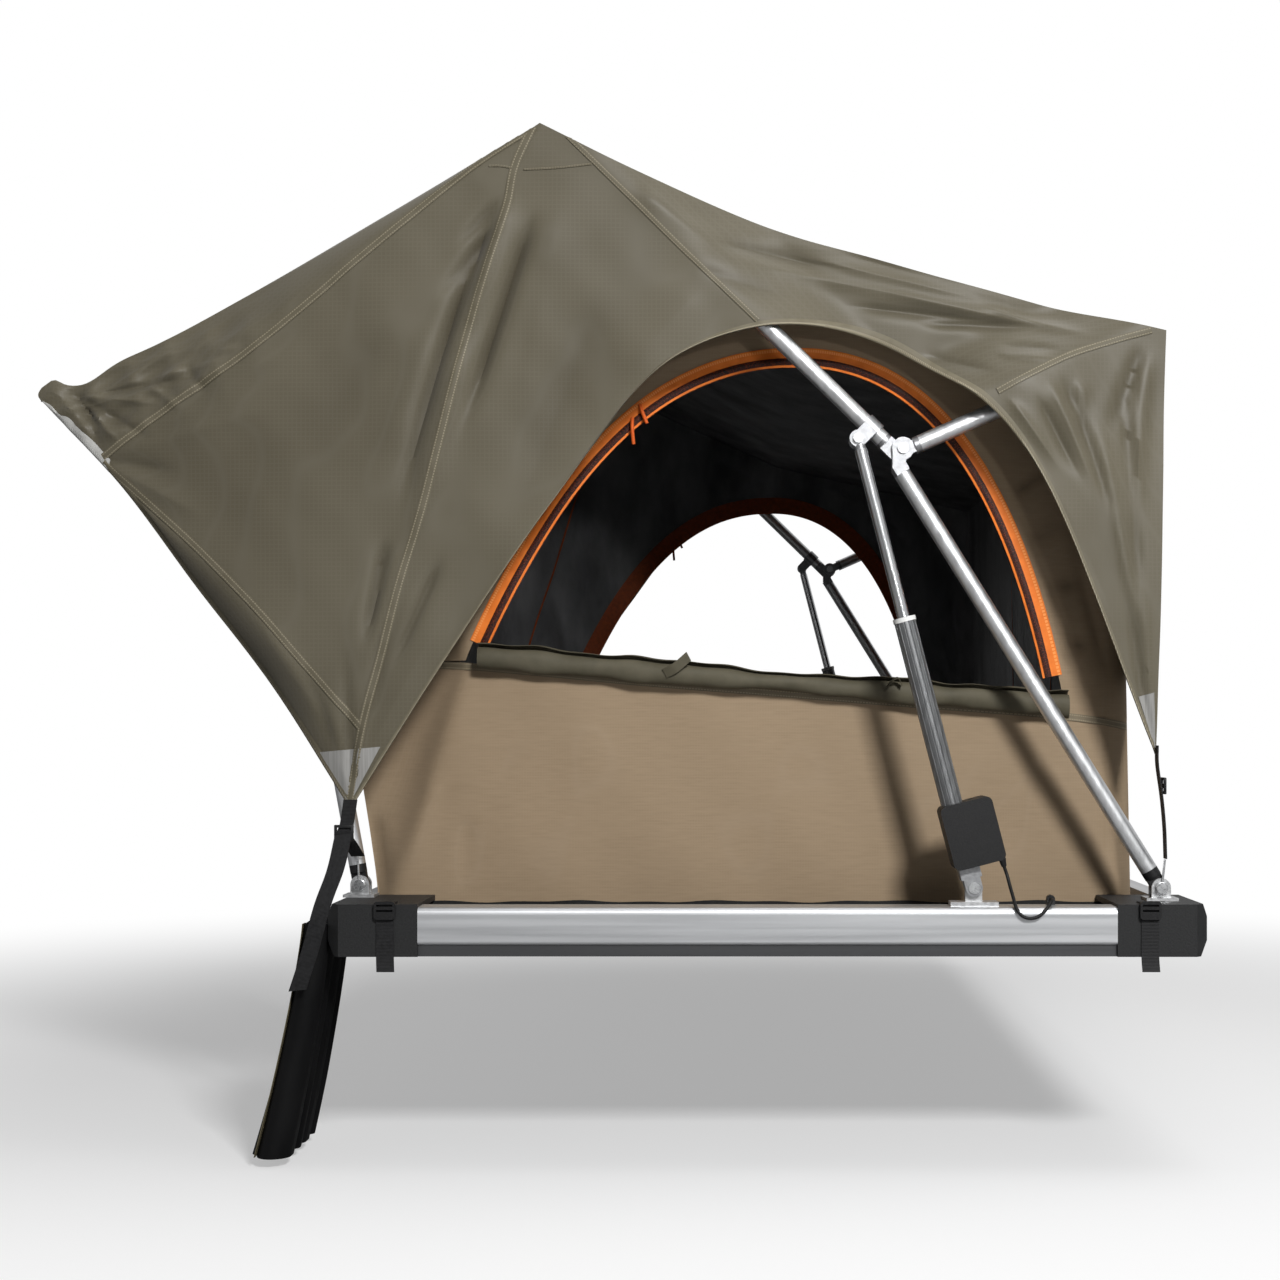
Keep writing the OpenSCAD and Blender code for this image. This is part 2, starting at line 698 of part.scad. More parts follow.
// Inner face of the walls: mitred at the corners, level at the two feet
function tent_normal(k) = let(way = unit(tent_outline[k + 1] - tent_outline[k])) [way[1], -way[0]];
function tent_inside(k) = let(last = len(tent_outline) - 1)
    k == 0 ? tent_outline[0] + [wall_t / tent_normal(0)[0], 0]
    : k == last ? tent_outline[last] + [wall_t / tent_normal(last - 1)[0], 0]
    : let(a = tent_normal(k - 1), b = tent_normal(k)) tent_outline[k] + (a + b) / (1 + a * b) * wall_t;
module end_wall() {
    plate_y(tent_y, tent_y + wall_t) difference() {
        polygon(tent_outline);
        polygon(window_outline(0));
    }
}
module tent_walls() {
    n = len(tent_outline);
    color([0.58, 0.5, 0.41]) difference() {
        union() {
            both_ends() end_wall();
            plate_y(tent_y, -tent_y) polygon(concat(
                tent_outline,
                [for (k = [n - 1 : -1 : 0]) tent_inside(k)]
            ));
        }
        translate([-half_w - 200, -door_w / 2, door_low]) cube([400, door_w, door_high - door_low]);
    }
}
module window_zips() {
    color([0.93, 0.4, 0.08]) both_ends() plate_y(tent_y - wall_t, tent_y) polygon(concat(
        window_outline(zip_w),
        [for (k = [window_steps : -1 : 0]) window_point(k, 1)]
    ));
}
// Flap rolled up along the sill of each end window, leaning on the wall's edge
flap_lift = 9;
module window_flaps() {
    run = window_right - window_left;
    inset = 24;
    roll_y = tent_y - sqrt(pow(flap_d / 2, 2) - pow(flap_lift, 2)) - side_gap;
    color([0.3, 0.28, 0.22]) both_ends()
        on_link(window_left + [0, flap_lift], atan2(run[1], run[0]), roll_y)
            rod_x(inset, norm(run) - inset, flap_d / 2);
}

// Straps that hold the fly's corners down to the pivot bolts
tie_w = 20;
tie_lean = 9;
tie_drop = 60;
lock_t = 4;
lock_drop = 44;
tail_out = 40;
tail_drop = 84;
tail_swing = 62;
tail_low = 46;
left_lock = [fly_left[0] - 8, fly_y - 6, fly_left[1] - 34];
ring_r = 7.5;
wire_r = 1.6;
hook_len = 34;
hook_in = ear_out + hook_room - wire_r - side_gap;
left_hook_y = bow_y - hook_in;
right_hook_y = leg_y - hook_in;
right_end = [leg_pivot[0] + 5, right_hook_y, leg_pivot[1] + ring_r + hook_len + 0.4];
left_end = [bow_pivot[0] - 2, left_hook_y, bow_pivot[1] + ring_r + hook_len + 0.4];
module fly_straps() {
    color([0.1, 0.1, 0.1]) both_ends() {
        strap([
            [fly_right[0] + 2.4, fly_y - 4, fly_right[1] + 14],
            [fly_right[0] + 2.8, fly_y - 4, fly_right[1] - 14],
            [fly_right[0] + tie_lean, fly_y - 4, fly_right[1] - tie_drop],
            right_end
        ], [0, tie_w, 0], strap_t);
        strap([
            [fly_left[0], fly_y - 1.2, fly_left[1] + 14],
            [fly_left[0] - 5, fly_y - 2, fly_left[1] - 20],
            left_lock,
            left_end
        ], [tie_w, 0, 0], strap_t);
    }
}
module tie_lock() {
    plate_y(-lock_t, 0) difference() {
        polygon(rounded(-14, -12, 14, 12, 4));
        translate([-10, 2]) square([20, 3]);
    }
}
module fly_strap_buckles() {
    color([0.08, 0.08, 0.08]) both_ends() {
        translate(left_lock - [0, strap_t / 2 + side_gap, 0]) tie_lock();
        translate([fly_right[0] + tie_lean + 0.6, fly_y - 4, fly_right[1] - lock_drop]) rotate([0, 0, 90]) tie_lock();
    }
}
module fly_strap_tails() {
    color([0.1, 0.1, 0.1]) both_ends() strap([
        left_lock - [0, lock_t + strap_t + 2 * side_gap, 2],
        [fly_left[0] - 14, fly_y - tail_out, fly_left[1] - tail_drop],
        [fly_left[0] - 27, -half_l - 8, cap_h],
        [fly_left[0] - 44, -half_l - 11, 10],
        [fly_left[0] - tail_swing, -half_l - 10, -tail_low]
    ], [strap_w, 0, 0], strap_t);
}
module wire_hook(lean) {
    rotate([90, 0, 0]) rotate_extrude() translate([ring_r, 0]) circle(r = wire_r, $fn = 24);
    rotate([0, lean, 0]) translate([0, 0, ring_r]) cylinder(h = hook_len, r = wire_r);
}
module fly_hooks() {
    color([0.75, 0.76, 0.77]) both_ends() {
        translate([leg_pivot[0], right_hook_y, leg_pivot[1]]) wire_hook(6);
        translate([bow_pivot[0], left_hook_y, bow_pivot[1]]) wire_hook(-3);
    }
}

// Black end plug with a tongue between a bracket's ears
module foot_plug() {
    difference() {
        union() {
            rod_y(-tongue_t / 2, tongue_t / 2, tongue_r);
            translate([0, -tongue_t / 2, -tongue_r + 2]) cube([plug_neck + 2, tongue_t, 2 * tongue_r - 4]);
            rod_x(plug_neck, plug_end, tube_r);
            rod_x(plug_end, plug_end + spigot_l, spigot_r);
        }
        rod_y(-tongue_t, tongue_t, bolt_r + pivot_fit);
    }
}

// Main legs
module leg_tubes() {
    color([0.8, 0.81, 0.82]) both_ends()
        on_link(leg_pivot, leg_angle, leg_y) frame_tube(plug_end, leg_len - knuckle_len);
}
module leg_foot_plugs() {
    color([0.1, 0.1, 0.1]) both_ends() on_link(leg_pivot, leg_angle, leg_y) foot_plug();
}
// Fork at the top of a leg; its two ears hold the elbow pin beside the leg's axis
fork_in = tongue_t / 2;
fork_out = fork_in + elbow_ear_t;
module leg_fork() {
    base_x = leg_len - knuckle_len;
    difference() {
        union() {
            rod_x(base_x - spigot_l, base_x, spigot_r);
            rod_x(base_x, leg_len - 19, tube_r);
            for (side = [-1, 1]) plate_y(side > 0 ? fork_in : -fork_out, side > 0 ? fork_out : -fork_in) {
                translate([leg_len, -elbow_drop]) circle(r = elbow_ear_r);
                polygon([
                    [base_x, -11], [base_x, 9], [leg_len - 16, 9], [leg_len + 11, -elbow_drop + 11],
                    [leg_len - 8, -elbow_drop - 13], [leg_len - 18, -12]
                ]);
            }
        }
        translate([leg_len, 0, -elbow_drop]) rod_y(-fork_out - 1, fork_out + 1, bolt_r);
    }
}
module leg_knuckles() {
    color([0.72, 0.73, 0.74]) both_ends() on_link(leg_pivot, leg_angle, leg_y) leg_fork();
}
module elbow_pins() {
    eave_step_y = eave_in - leg_in;
    inner = eave_step_y + eave_barrel / 2 + side_gap;
    color([0.75, 0.76, 0.77]) both_ends() on_link(elbow, 0, leg_y) {
        rod_y(-fork_out - side_gap, inner, bolt_r);
        rod_y(-fork_out - side_gap - 3, -fork_out - side_gap, head_r);
        rod_y(inner, inner + 3, head_r);
    }
}

// Ridge bow
ridge_block = 27;
ridge_socket = 65;
ridge_end = ridge_len - ridge_socket;
module ridge_tubes() {
    color([0.8, 0.81, 0.82]) both_ends() on_link(elbow, ridge_angle, leg_y)
        translate([0, 0, ridge_rise]) frame_tube(knuckle_len, ridge_end);
}
module ridge_bar() {
    color([0.8, 0.81, 0.82]) cross_bar(ridge_at, -leg_y - ridge_block / 2);
}
module ridge_knuckles() {
    reach = tongue_t / 2 - side_gap;
    color([0.72, 0.73, 0.74]) both_ends() on_link(elbow, ridge_angle, leg_y) difference() {
        union() {
            rod_y(-reach, reach, elbow_tongue_r);
            translate([0, -reach, ridge_rise - tube_r + 0.5]) cube([knuckle_len - 6, 2 * reach, 2 * tube_r - 1]);
            translate([0, 0, ridge_rise]) rod_x(knuckle_len - 6, knuckle_len, tube_r);
            translate([0, 0, ridge_rise]) rod_x(knuckle_len, knuckle_len + spigot_l, spigot_r);
        }
        rod_y(-tongue_t, tongue_t, bolt_r + pivot_fit);
    }
}
// Corner fitting that carries the ridge bar beside the ridge tube
module ridge_corners() {
    color([0.12, 0.12, 0.12]) both_ends() on_link(elbow, ridge_angle, leg_y)
        plate_y(-ridge_block / 2, ridge_block / 2) {
            translate([ridge_len, ridge_bar_rise]) circle(r = ridge_block / 2);
            polygon([
                [ridge_end, ridge_rise - tube_r], [ridge_len, ridge_bar_rise - ridge_block / 2],
                [ridge_len, ridge_bar_rise + ridge_block / 2], [ridge_end, ridge_rise + tube_r]
            ]);
        }
}
// Collar on the ridge tube with the lug that the actuator rod pushes
collar_w = 24;
collar_wall = 3;
lug_out = 21;
module rod_collars() {
    color([0.72, 0.73, 0.74]) both_ends() on_link(elbow, ridge_angle, leg_y) difference() {
        union() {
            translate([0, 0, ridge_rise])
                rod_x(collar_at - collar_w / 2, collar_at + collar_w / 2, tube_r + collar_wall);
            plate_y(-lug_out, -tube_r) {
                translate([collar_at, collar_rise]) circle(r = 11);
                translate([collar_at - 11, ridge_rise]) square([22, collar_rise - ridge_rise]);
            }
        }
        translate([0, 0, ridge_rise]) rod_x(0, collar_at + collar_w, tube_r + 0.02);
    }
}

// Eave bow
eave_end = eave_len - block / 2;
module eave_arms() {
    color([0.8, 0.81, 0.82]) both_ends() on_link(elbow, eave_angle, eave_y) frame_tube(knuckle_len, eave_end);
}
module eave_bar() {
    color([0.8, 0.81, 0.82]) cross_bar(eave_at, -eave_y - bar_in);
}
module eave_knuckles() {
    color([0.72, 0.73, 0.74]) both_ends() on_link(elbow, eave_angle, eave_y) difference() {
        union() {
            rod_y(-eave_barrel / 2, eave_barrel / 2, elbow_tongue_r);
            translate([0, -8, -9]) cube([knuckle_len - 6, 16, 18]);
            rod_x(knuckle_len - 8, knuckle_len, tube_r);
            rod_x(knuckle_len, knuckle_len + spigot_l, spigot_r);
        }
        rod_y(-eave_barrel, eave_barrel, bolt_r + pivot_fit);
    }
}
module eave_corners() {
    color([0.12, 0.12, 0.12]) both_ends() on_link(elbow, eave_angle, eave_y)
        translate([eave_len, 0, 0]) corner_block();
}

// Entrance bow
entrance_end = entrance_len - block / 2;
module entrance_legs() {
    color([0.8, 0.81, 0.82]) both_ends()
        on_link(bow_pivot, entrance_angle, bow_y) frame_tube(plug_end, entrance_end);
}
module entrance_bar() {
    color([0.8, 0.81, 0.82]) cross_bar(entrance_at, -bow_y - bar_in);
}
module entrance_foot_plugs() {
    color([0.1, 0.1, 0.1]) both_ends() on_link(bow_pivot, entrance_angle, bow_y) foot_plug();
}
module entrance_corners() {
    color([0.12, 0.12, 0.12]) both_ends() on_link(bow_pivot, entrance_angle, bow_y)
        translate([entrance_len, 0, 0]) corner_block();
}
// Clamp on the entrance leg with the ears of the awning hinge
hinge_r = 9;
hinge_pin_r = 4;
hinge_in = 5.5;
hinge_out = 9.5;
clamp_w = 28;
clamp_wall = 3;
module awning_hinges() {
    color([0.12, 0.12, 0.12]) both_ends() on_link(bow_pivot, entrance_angle, bow_y) difference() {
        union() {
            rod_x(awning_at - clamp_w / 2, awning_at + clamp_w / 2, tube_r + clamp_wall);
            for (side = [-1, 1]) plate_y(side > 0 ? hinge_in : -hinge_out, side > 0 ? hinge_out : -hinge_in) {
                translate([awning_at, awning_rise]) circle(r = hinge_r);
                translate([awning_at - hinge_r, tube_r - 4]) square([2 * hinge_r, awning_rise - tube_r + 4]);
            }
        }
        rod_x(awning_at - clamp_w, awning_at + clamp_w, tube_r + 0.02);
        translate([awning_at, 0, awning_rise]) rod_y(-hinge_out - 1, hinge_out + 1, hinge_pin_r);
    }
}
module awning_hinge_pins() {
    color([0.75, 0.76, 0.77]) both_ends() on_link(hinge_at, 0, bow_y) {
        rod_y(-hinge_out - side_gap, hinge_out + side_gap, hinge_pin_r);
        rod_y(-hinge_out - side_gap - 2, -hinge_out - side_gap, 6);
        rod_y(hinge_out + side_gap, hinge_out + side_gap + 2, 6);
    }
}

// Awning bow
awning_neck = 28;
awning_end = awning_len - block / 2;
module awning_arms() {
    color([0.8, 0.81, 0.82]) both_ends() on_link(hinge_at, awning_angle, bow_y) frame_tube(awning_neck, awning_end);
}
module awning_bar() {
    color([0.8, 0.81, 0.82]) cross_bar(awning_bar_at, -bow_y - bar_in);
}
module awning_knuckles() {
    reach = hinge_in - side_gap;
    color([0.12, 0.12, 0.12]) both_ends() on_link(hinge_at, awning_angle, bow_y) difference() {
        union() {
            rod_y(-reach, reach, hinge_r);
            translate([0, -reach, -8]) cube([awning_neck - 6, 2 * reach, 16]);
            rod_x(awning_neck - 8, awning_neck, tube_r);
            rod_x(awning_neck, awning_neck + spigot_l, spigot_r);
        }
        rod_y(-hinge_out, hinge_out, hinge_pin_r + pivot_fit);
    }
}
module awning_corners() {
    color([0.12, 0.12, 0.12]) both_ends() on_link(hinge_at, awning_angle, bow_y)
        translate([awning_len, 0, 0]) corner_block();
}

// Actuators
housing_to = housing_from + housing_len;
act_tube_r = act_tube_d / 2;
rod_r = rod_d / 2;
bore_r = rod_r + 0.6;
ring_w = 6.5;
ring_to = act_tube_end + ring_w;
flutes = 14;
flute_r = 1.3;
eye_r = 12;
eye_t = 12;
eye_pin_r = 4;
rod_to = act_len - 16;
module actuator_tubes() {
    color([0.6, 0.61, 0.62]) both_ends() on_link(act_pivot, act_angle, act_y)
        translate([housing_to, 0, 0]) rotate([0, 90, 0])
            linear_extrude(height = act_tube_end - housing_to) difference() {
                circle(r = act_tube_r);
                circle(r = bore_r);
                for (k = [0 : flutes - 1]) rotate(360 * k / flutes) translate([act_tube_r, 0]) circle(r = flute_r);
            }
}
module motor_housings() {
    color([0.08, 0.08, 0.08]) both_ends() on_link(act_pivot, act_angle, act_y) difference() {
        plate_y(-housing_w / 2, housing_w / 2)
            polygon(rounded(housing_from, -housing_motor, housing_to, housing_back, 9));
        rod_x(rod_from - stroke - 8, housing_to + 1, bore_r);
    }
}
module gear_bases() {
    color([0.74, 0.75, 0.76]) both_ends() on_link(act_pivot, act_angle, act_y) difference() {
        union() {
            for (side = [-1, 1]) plate_y(side > 0 ? gear_in : -gear_out, side > 0 ? gear_out : -gear_in) {
                circle(r = tab_r);
                translate([0, -tab_r]) square([16, 2 * tab_r]);
            }
            translate([tab_r + 2, -gear_out, -15]) cube([housing_from - tab_r - 2, 2 * gear_out, 30]);
        }
        rod_y(-gear_out - 1, gear_out + 1, bolt_r + pivot_fit);
    }
}
module wiper_rings() {
    color([0.9, 0.9, 0.88]) both_ends() on_link(act_pivot, act_angle, act_y) difference() {
        rod_x(act_tube_end, ring_to, act_tube_r + 1);
        rod_x(act_tube_end - 1, ring_to + 1, rod_r + pivot_fit);
    }
}
module lead_relief() {
    color([0.1, 0.1, 0.1]) on_link(act_pivot, act_angle, act_y)
        translate([housing_from - lead_drop, 0, -lead_beside]) rotate([0, 90, 0])
            cylinder(h = lead_drop, r1 = 3.6, r2 = 5.5);
}
module actuator_rods() {
    color([0.82, 0.83, 0.84]) both_ends() on_link(act_pivot, act_angle, act_y) rod_x(rod_from, rod_to, rod_r);
}
module rod_eyes() {
    color([0.74, 0.75, 0.76]) both_ends() on_link(act_pivot, act_angle, act_y) difference() {
        union() {
            rod_x(rod_to, act_len - eye_r + 3, 8);
            translate([act_len, 0, 0]) rod_y(-eye_t / 2, eye_t / 2, eye_r);
        }
        translate([act_len, 0, 0]) rod_y(-eye_t, eye_t, eye_pin_r);
    }
}
// Pin of the rod eye; its inner end stops just short of the collar's lug
module rod_pins() {
    inner = leg_in - actuator_in - lug_out - 0.4;
    color([0.75, 0.76, 0.77]) both_ends() on_link(rod_pin_at, 0, act_y) {
        rod_y(-eye_t / 2 - side_gap, inner, eye_pin_r);
        rod_y(-eye_t / 2 - side_gap - 4, -eye_t / 2 - side_gap, 7);
        rod_y(eye_t / 2 + side_gap, inner - 2, 7);
    }
}

floor_panel();
near_rail();
far_rail();
left_rail();
right_rail();
corner_caps();
mounting_channels();
leg_brackets();
bow_brackets();
actuator_feet();
leg_pivot_bolts();
bow_pivot_bolts();
actuator_pivot_pins();
mattress();
travel_cover();
cap_straps();
cap_buckles();
cable_glands();
actuator_lead();
fly_sheet();
tent_walls();
window_zips();
window_flaps();
fly_straps();
fly_strap_buckles();
fly_strap_tails();
fly_hooks();
leg_tubes();
leg_foot_plugs();
leg_knuckles();
elbow_pins();
ridge_tubes();
ridge_bar();
ridge_knuckles();
ridge_corners();
rod_collars();
eave_arms();
eave_bar();
eave_knuckles();
eave_corners();
entrance_legs();
entrance_bar();
entrance_foot_plugs();
entrance_corners();
awning_hinges();
awning_hinge_pins();
awning_arms();
awning_bar();
awning_knuckles();
awning_corners();
actuator_tubes();
motor_housings();
gear_bases();
wiper_rings();
lead_relief();
actuator_rods();
rod_eyes();
rod_pins();
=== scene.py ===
import math

import bpy
import numpy as np
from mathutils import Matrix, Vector
from mathutils.bvhtree import BVHTree


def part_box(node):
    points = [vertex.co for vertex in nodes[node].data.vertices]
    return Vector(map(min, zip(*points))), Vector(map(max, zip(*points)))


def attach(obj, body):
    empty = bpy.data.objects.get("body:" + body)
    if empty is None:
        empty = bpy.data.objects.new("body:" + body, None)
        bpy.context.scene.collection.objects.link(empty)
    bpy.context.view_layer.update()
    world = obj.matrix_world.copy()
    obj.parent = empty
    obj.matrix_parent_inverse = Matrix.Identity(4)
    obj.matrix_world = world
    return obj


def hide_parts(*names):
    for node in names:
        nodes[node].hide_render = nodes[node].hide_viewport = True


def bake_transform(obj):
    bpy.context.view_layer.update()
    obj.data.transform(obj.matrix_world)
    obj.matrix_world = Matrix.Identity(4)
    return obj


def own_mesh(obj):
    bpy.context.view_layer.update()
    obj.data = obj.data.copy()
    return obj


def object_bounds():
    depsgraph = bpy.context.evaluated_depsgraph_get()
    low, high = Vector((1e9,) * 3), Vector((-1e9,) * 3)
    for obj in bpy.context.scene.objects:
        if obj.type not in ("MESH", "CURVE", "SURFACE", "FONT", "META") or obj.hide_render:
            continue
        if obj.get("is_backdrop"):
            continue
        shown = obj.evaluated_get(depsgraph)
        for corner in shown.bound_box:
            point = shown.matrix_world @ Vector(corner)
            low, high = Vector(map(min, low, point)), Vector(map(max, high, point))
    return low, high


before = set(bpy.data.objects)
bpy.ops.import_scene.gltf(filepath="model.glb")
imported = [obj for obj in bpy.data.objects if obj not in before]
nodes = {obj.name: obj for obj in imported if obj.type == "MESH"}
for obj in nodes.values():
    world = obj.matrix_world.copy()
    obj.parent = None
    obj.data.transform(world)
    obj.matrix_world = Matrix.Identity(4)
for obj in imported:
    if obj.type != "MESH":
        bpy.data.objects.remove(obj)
cadLow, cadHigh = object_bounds()
scene = bpy.context.scene
bpy.ops.object.select_all(action="DESELECT")

# camera, in front of the near end and level
bpy.ops.object.camera_add(location=(-0.0487, -4.05, 0.3216), rotation=(math.pi / 2, 0, 0))
camera = bpy.context.object
camera.data.lens = 56.83
camera.data.sensor_width = 36
camera.data.shift_x = -0.0727
camera.data.shift_y = 0.0695
scene.camera = camera
scene.view_settings.view_transform = "Standard"


# size is the side of an area lamp or the angle of a spot
def lamp(name, place, aim, size, power, kind="AREA"):
    bpy.ops.object.light_add(type=kind, location=place)
    light = bpy.context.object
    light.name = name
    if kind == "AREA":
        light.data.size = size
    else:
        light.data.spot_size = size
        light.data.spot_blend = 0.8
        light.data.shadow_soft_size = 0.3
    light.data.energy = power
    light.rotation_euler = (Vector(aim) - Vector(place)).to_track_quat("-Z", "Y").to_euler()


lamp("keyLight", (1.5, -5.2, 2.9), (0, -1.1, 0.5), 0.8, 262)
lamp("fillLight", (-4.2, -3.6, 1.2), (-0.2, -0.9, 0.5), 2.5, 8)
lamp("topLight", (0.9, -0.6, 4.2), (0, 0, 0.5), 2.5, 75)
# a narrow beam through the window, so that the lining shows
lamp("insideLight", (2.4, -9, 0.75), (0.03, -1, 0.64), math.radians(5.4), 480, "SPOT")


# a shader node with its settings and input values
def add(tree, kind, values=None, **settings):
    node = tree.nodes.new("ShaderNode" + kind)
    for key, value in settings.items():
        setattr(node, key, value)
    for key, value in (values or {}).items():
        node.inputs[key].default_value = value
    return node


# links, each from a node's output to a node's input
def wire(tree, *links):
    for source, out, target, into in links:
        tree.links.new(source.outputs[out], target.inputs[into])


# sockets of a mix node's two colours and of its result
mixA, mixB, mixed = 6, 7, 2

# white room: the camera sees plain white, the object gets softer light
world = bpy.data.worlds.new("room")
scene.world = world
world.use_nodes = True
tree = world.node_tree
soft = tree.nodes["Background"]
soft.inputs["Color"].default_value = (0.93, 0.95, 1, 1)
soft.inputs["Strength"].default_value = 0.07
plain = add(tree, "Background", {"Color": (1, 1, 1, 1), "Strength": 1})
shiny = add(tree, "Background", {"Strength": 0.62})
ray = add(tree, "LightPath")
lit = add(tree, "MixShader")
pick = add(tree, "MixShader")
wire(tree, (ray, "Is Glossy Ray", lit, "Fac"), (soft, "Background", lit, 1), (shiny, "Background", lit, 2),
     (ray, "Is Camera Ray", pick, "Fac"), (lit, "Shader", pick, 1), (plain, "Background", pick, 2),
     (pick, "Shader", tree.nodes["World Output"], "Surface"))

# floor under the lowest hanging cloth, fading to white away from the object
bpy.ops.mesh.primitive_plane_add(size=60, location=(0, 0, cadLow.z - 0.004))
floor = bpy.context.object
floor.name = "floor"
floor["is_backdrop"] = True
paint = bpy.data.materials.new("floorPaint")
paint.use_nodes = True
tree = paint.node_tree
matte = tree.nodes["Principled BSDF"]
matte.inputs["Roughness"].default_value = 0.9
where = add(tree, "TexCoord")
away = add(tree, "VectorMath", operation="LENGTH")
fade = add(tree, "MapRange", {"From Min": 1.0, "From Max": 3.4, "To Min": 0.4},
           interpolation_type="SMOOTHSTEP")
eye = add(tree, "LightPath")
pale = add(tree, "Mix", {mixA: (0.3, 0.3, 0.3, 1), mixB: (0.86, 0.86, 0.86, 1)}, data_type="RGBA")
shown = add(tree, "Math", operation="MULTIPLY")
glow = add(tree, "Emission", {"Color": (1, 1, 1, 1)})
faded = add(tree, "MixShader")
wire(tree, (where, "Object", away, 0), (away, "Value", fade, "Value"), (eye, "Is Camera Ray", pale, "Factor"),
     (pale, mixed, matte, "Base Color"), (fade, "Result", shown, 0), (eye, "Is Camera Ray", shown, 1),
     (shown, "Value", faded, "Fac"), (matte, "BSDF", faded, 1), (glow, "Emission", faded, 2),
     (faded, "Shader", tree.nodes["Material Output"], "Surface"))
floor.data.materials.append(paint)
print("camera, lights and floor are in place")


# materials: a grain on the object's own coordinates drives tint, roughness and bump
def surface(name, dark, light, scale, stretch=(1, 1, 1), rough=(0.5, 0.65), metal=0, bump=0.3, depth=0.001):
    material = bpy.data.materials.new(name)
    material.use_nodes = True
    tree = material.node_tree
    shader = tree.nodes["Principled BSDF"]
    shader.inputs["Metallic"].default_value = metal
    shader.inputs["Specular IOR Level"].default_value = 0.5 if metal else 0.22
    middle = {"From Min": 0.3, "From Max": 0.7}
    where = add(tree, "TexCoord")
    turn = add(tree, "Mapping", {"Scale": stretch})
    grain = add(tree, "TexNoise", {"Scale": scale, "Detail": 5}, name="grain")
    spread = add(tree, "MapRange", middle)
    shine = add(tree, "MapRange", {**middle, "To Min": rough[0], "To Max": rough[1]})
    tint = add(tree, "Mix", {mixA: (*dark, 1), mixB: (*light, 1)}, data_type="RGBA")
    relief = add(tree, "Bump", {"Strength": bump, "Distance": depth}, name="relief")
    wire(tree, (where, "Object", turn, "Vector"), (turn, "Vector", grain, "Vector"),
         (grain, "Fac", spread, "Value"), (spread, "Result", tint, "Factor"), (grain, "Fac", shine, "Value"),
         (grain, "Fac", relief, "Height"), (tint, mixed, shader, "Base Color"),
         (shine, "Result", shader, "Roughness"), (relief, "Normal", shader, "Normal"))
    return material


def setShader(material, key, value):
    material.node_tree.nodes["Principled BSDF"].inputs[key].default_value = value


# lays a second colour over the one that the shader has so far, by as much as a node's output says
def overColour(tree, node, out, second=(0, 0, 0), blend="MIX"):
    mix = add(tree, "Mix", {mixB: (*second, 1)}, data_type="RGBA", blend_type=blend)
    colour = tree.nodes["Principled BSDF"].inputs["Base Color"]
    tree.links.new(colour.links[0].from_socket, mix.inputs[mixA])
    tree.links.new(mix.outputs[mixed], colour)
    wire(tree, (node, out, mix, "Factor"))
    return mix


def largest(tree, parts):
    most = parts[0]
    for part in parts[1:]:
        higher = add(tree, "Math", operation="MAXIMUM")
        wire(tree, (most, "Value", higher, 0), (part, "Value", higher, 1))
        most = higher
    return most


# scale of a wave texture whose bands are this far apart, in metres
def waveScale(spacing):
    return math.pi / 10 / spacing


# ripstop or canvas threads over a surface: thin lines along each direction
def threads(material, spacing, lift, strength):
    tree = material.node_tree
    where = add(tree, "TexCoord")
    lines = []
    for axis in "XYZ":
        wave = add(tree, "TexWave", {"Scale": waveScale(spacing)}, bands_direction=axis)
        thin = add(tree, "Math", {1: 6}, operation="POWER")
        wire(tree, (where, "Object", wave, "Vector"), (wave, "Fac", thin, 0))
        lines.append(thin)
    every = largest(tree, lines)
    raised = add(tree, "Math", {1: strength}, operation="MULTIPLY_ADD")
    wire(tree, (every, "Value", raised, 0), (tree.nodes["grain"], "Fac", raised, 2),
         (raised, "Value", tree.nodes["relief"], "Height"))
    overColour(tree, every, "Value", (lift, lift, lift), "ADD")


# dark and light tint, size and stretch of the grain, roughness, metal, bump and its depth
railMetal = surface("railMetal", (0.56, 0.57, 0.585), (0.66, 0.67, 0.685), 90, (0.02, 1, 1),
                    (0.34, 0.46), 0.85, 0.06)
sideMetal = surface("sideMetal", (0.62, 0.63, 0.65), (0.72, 0.73, 0.75), 90, (1, 0.02, 1),
                    (0.34, 0.46), 0.85, 0.06)
tubeMetal = surface("tubeMetal", (0.66, 0.67, 0.68), (0.78, 0.79, 0.8), 140, (1, 1, 0.3),
                    (0.3, 0.42), 0.9, 0.08)
castMetal = surface("castMetal", (0.3, 0.305, 0.315), (0.4, 0.405, 0.415), 260, (1, 1, 1),
                    (0.34, 0.46), 0.9, 0.25, 0.0006)
flutedMetal = surface("flutedMetal", (0.16, 0.163, 0.167), (0.22, 0.224, 0.228), 160, (1, 1, 0.2),
                      (0.34, 0.44), 0.8, 0.06)
plateSteel = surface("plateSteel", (0.48, 0.485, 0.49), (0.6, 0.605, 0.61), 220, (1, 1, 1),
                     (0.3, 0.45), 0.8, 0.1, 0.0005)
rodSteel = surface("rodSteel", (0.68, 0.69, 0.7), (0.78, 0.79, 0.8), 180, (1, 1, 0.1),
                   (0.16, 0.24), 1, 0.03)
boltSteel = surface("boltSteel", (0.6, 0.61, 0.62), (0.74, 0.75, 0.76), 300, (1, 1, 1),
                    (0.24, 0.36), 1, 0.1, 0.0004)
capPlastic = surface("capPlastic", (0.011, 0.0112, 0.0116), (0.02, 0.0204, 0.021), 420,
                     rough=(0.46, 0.6), bump=0.35, depth=0.0005)
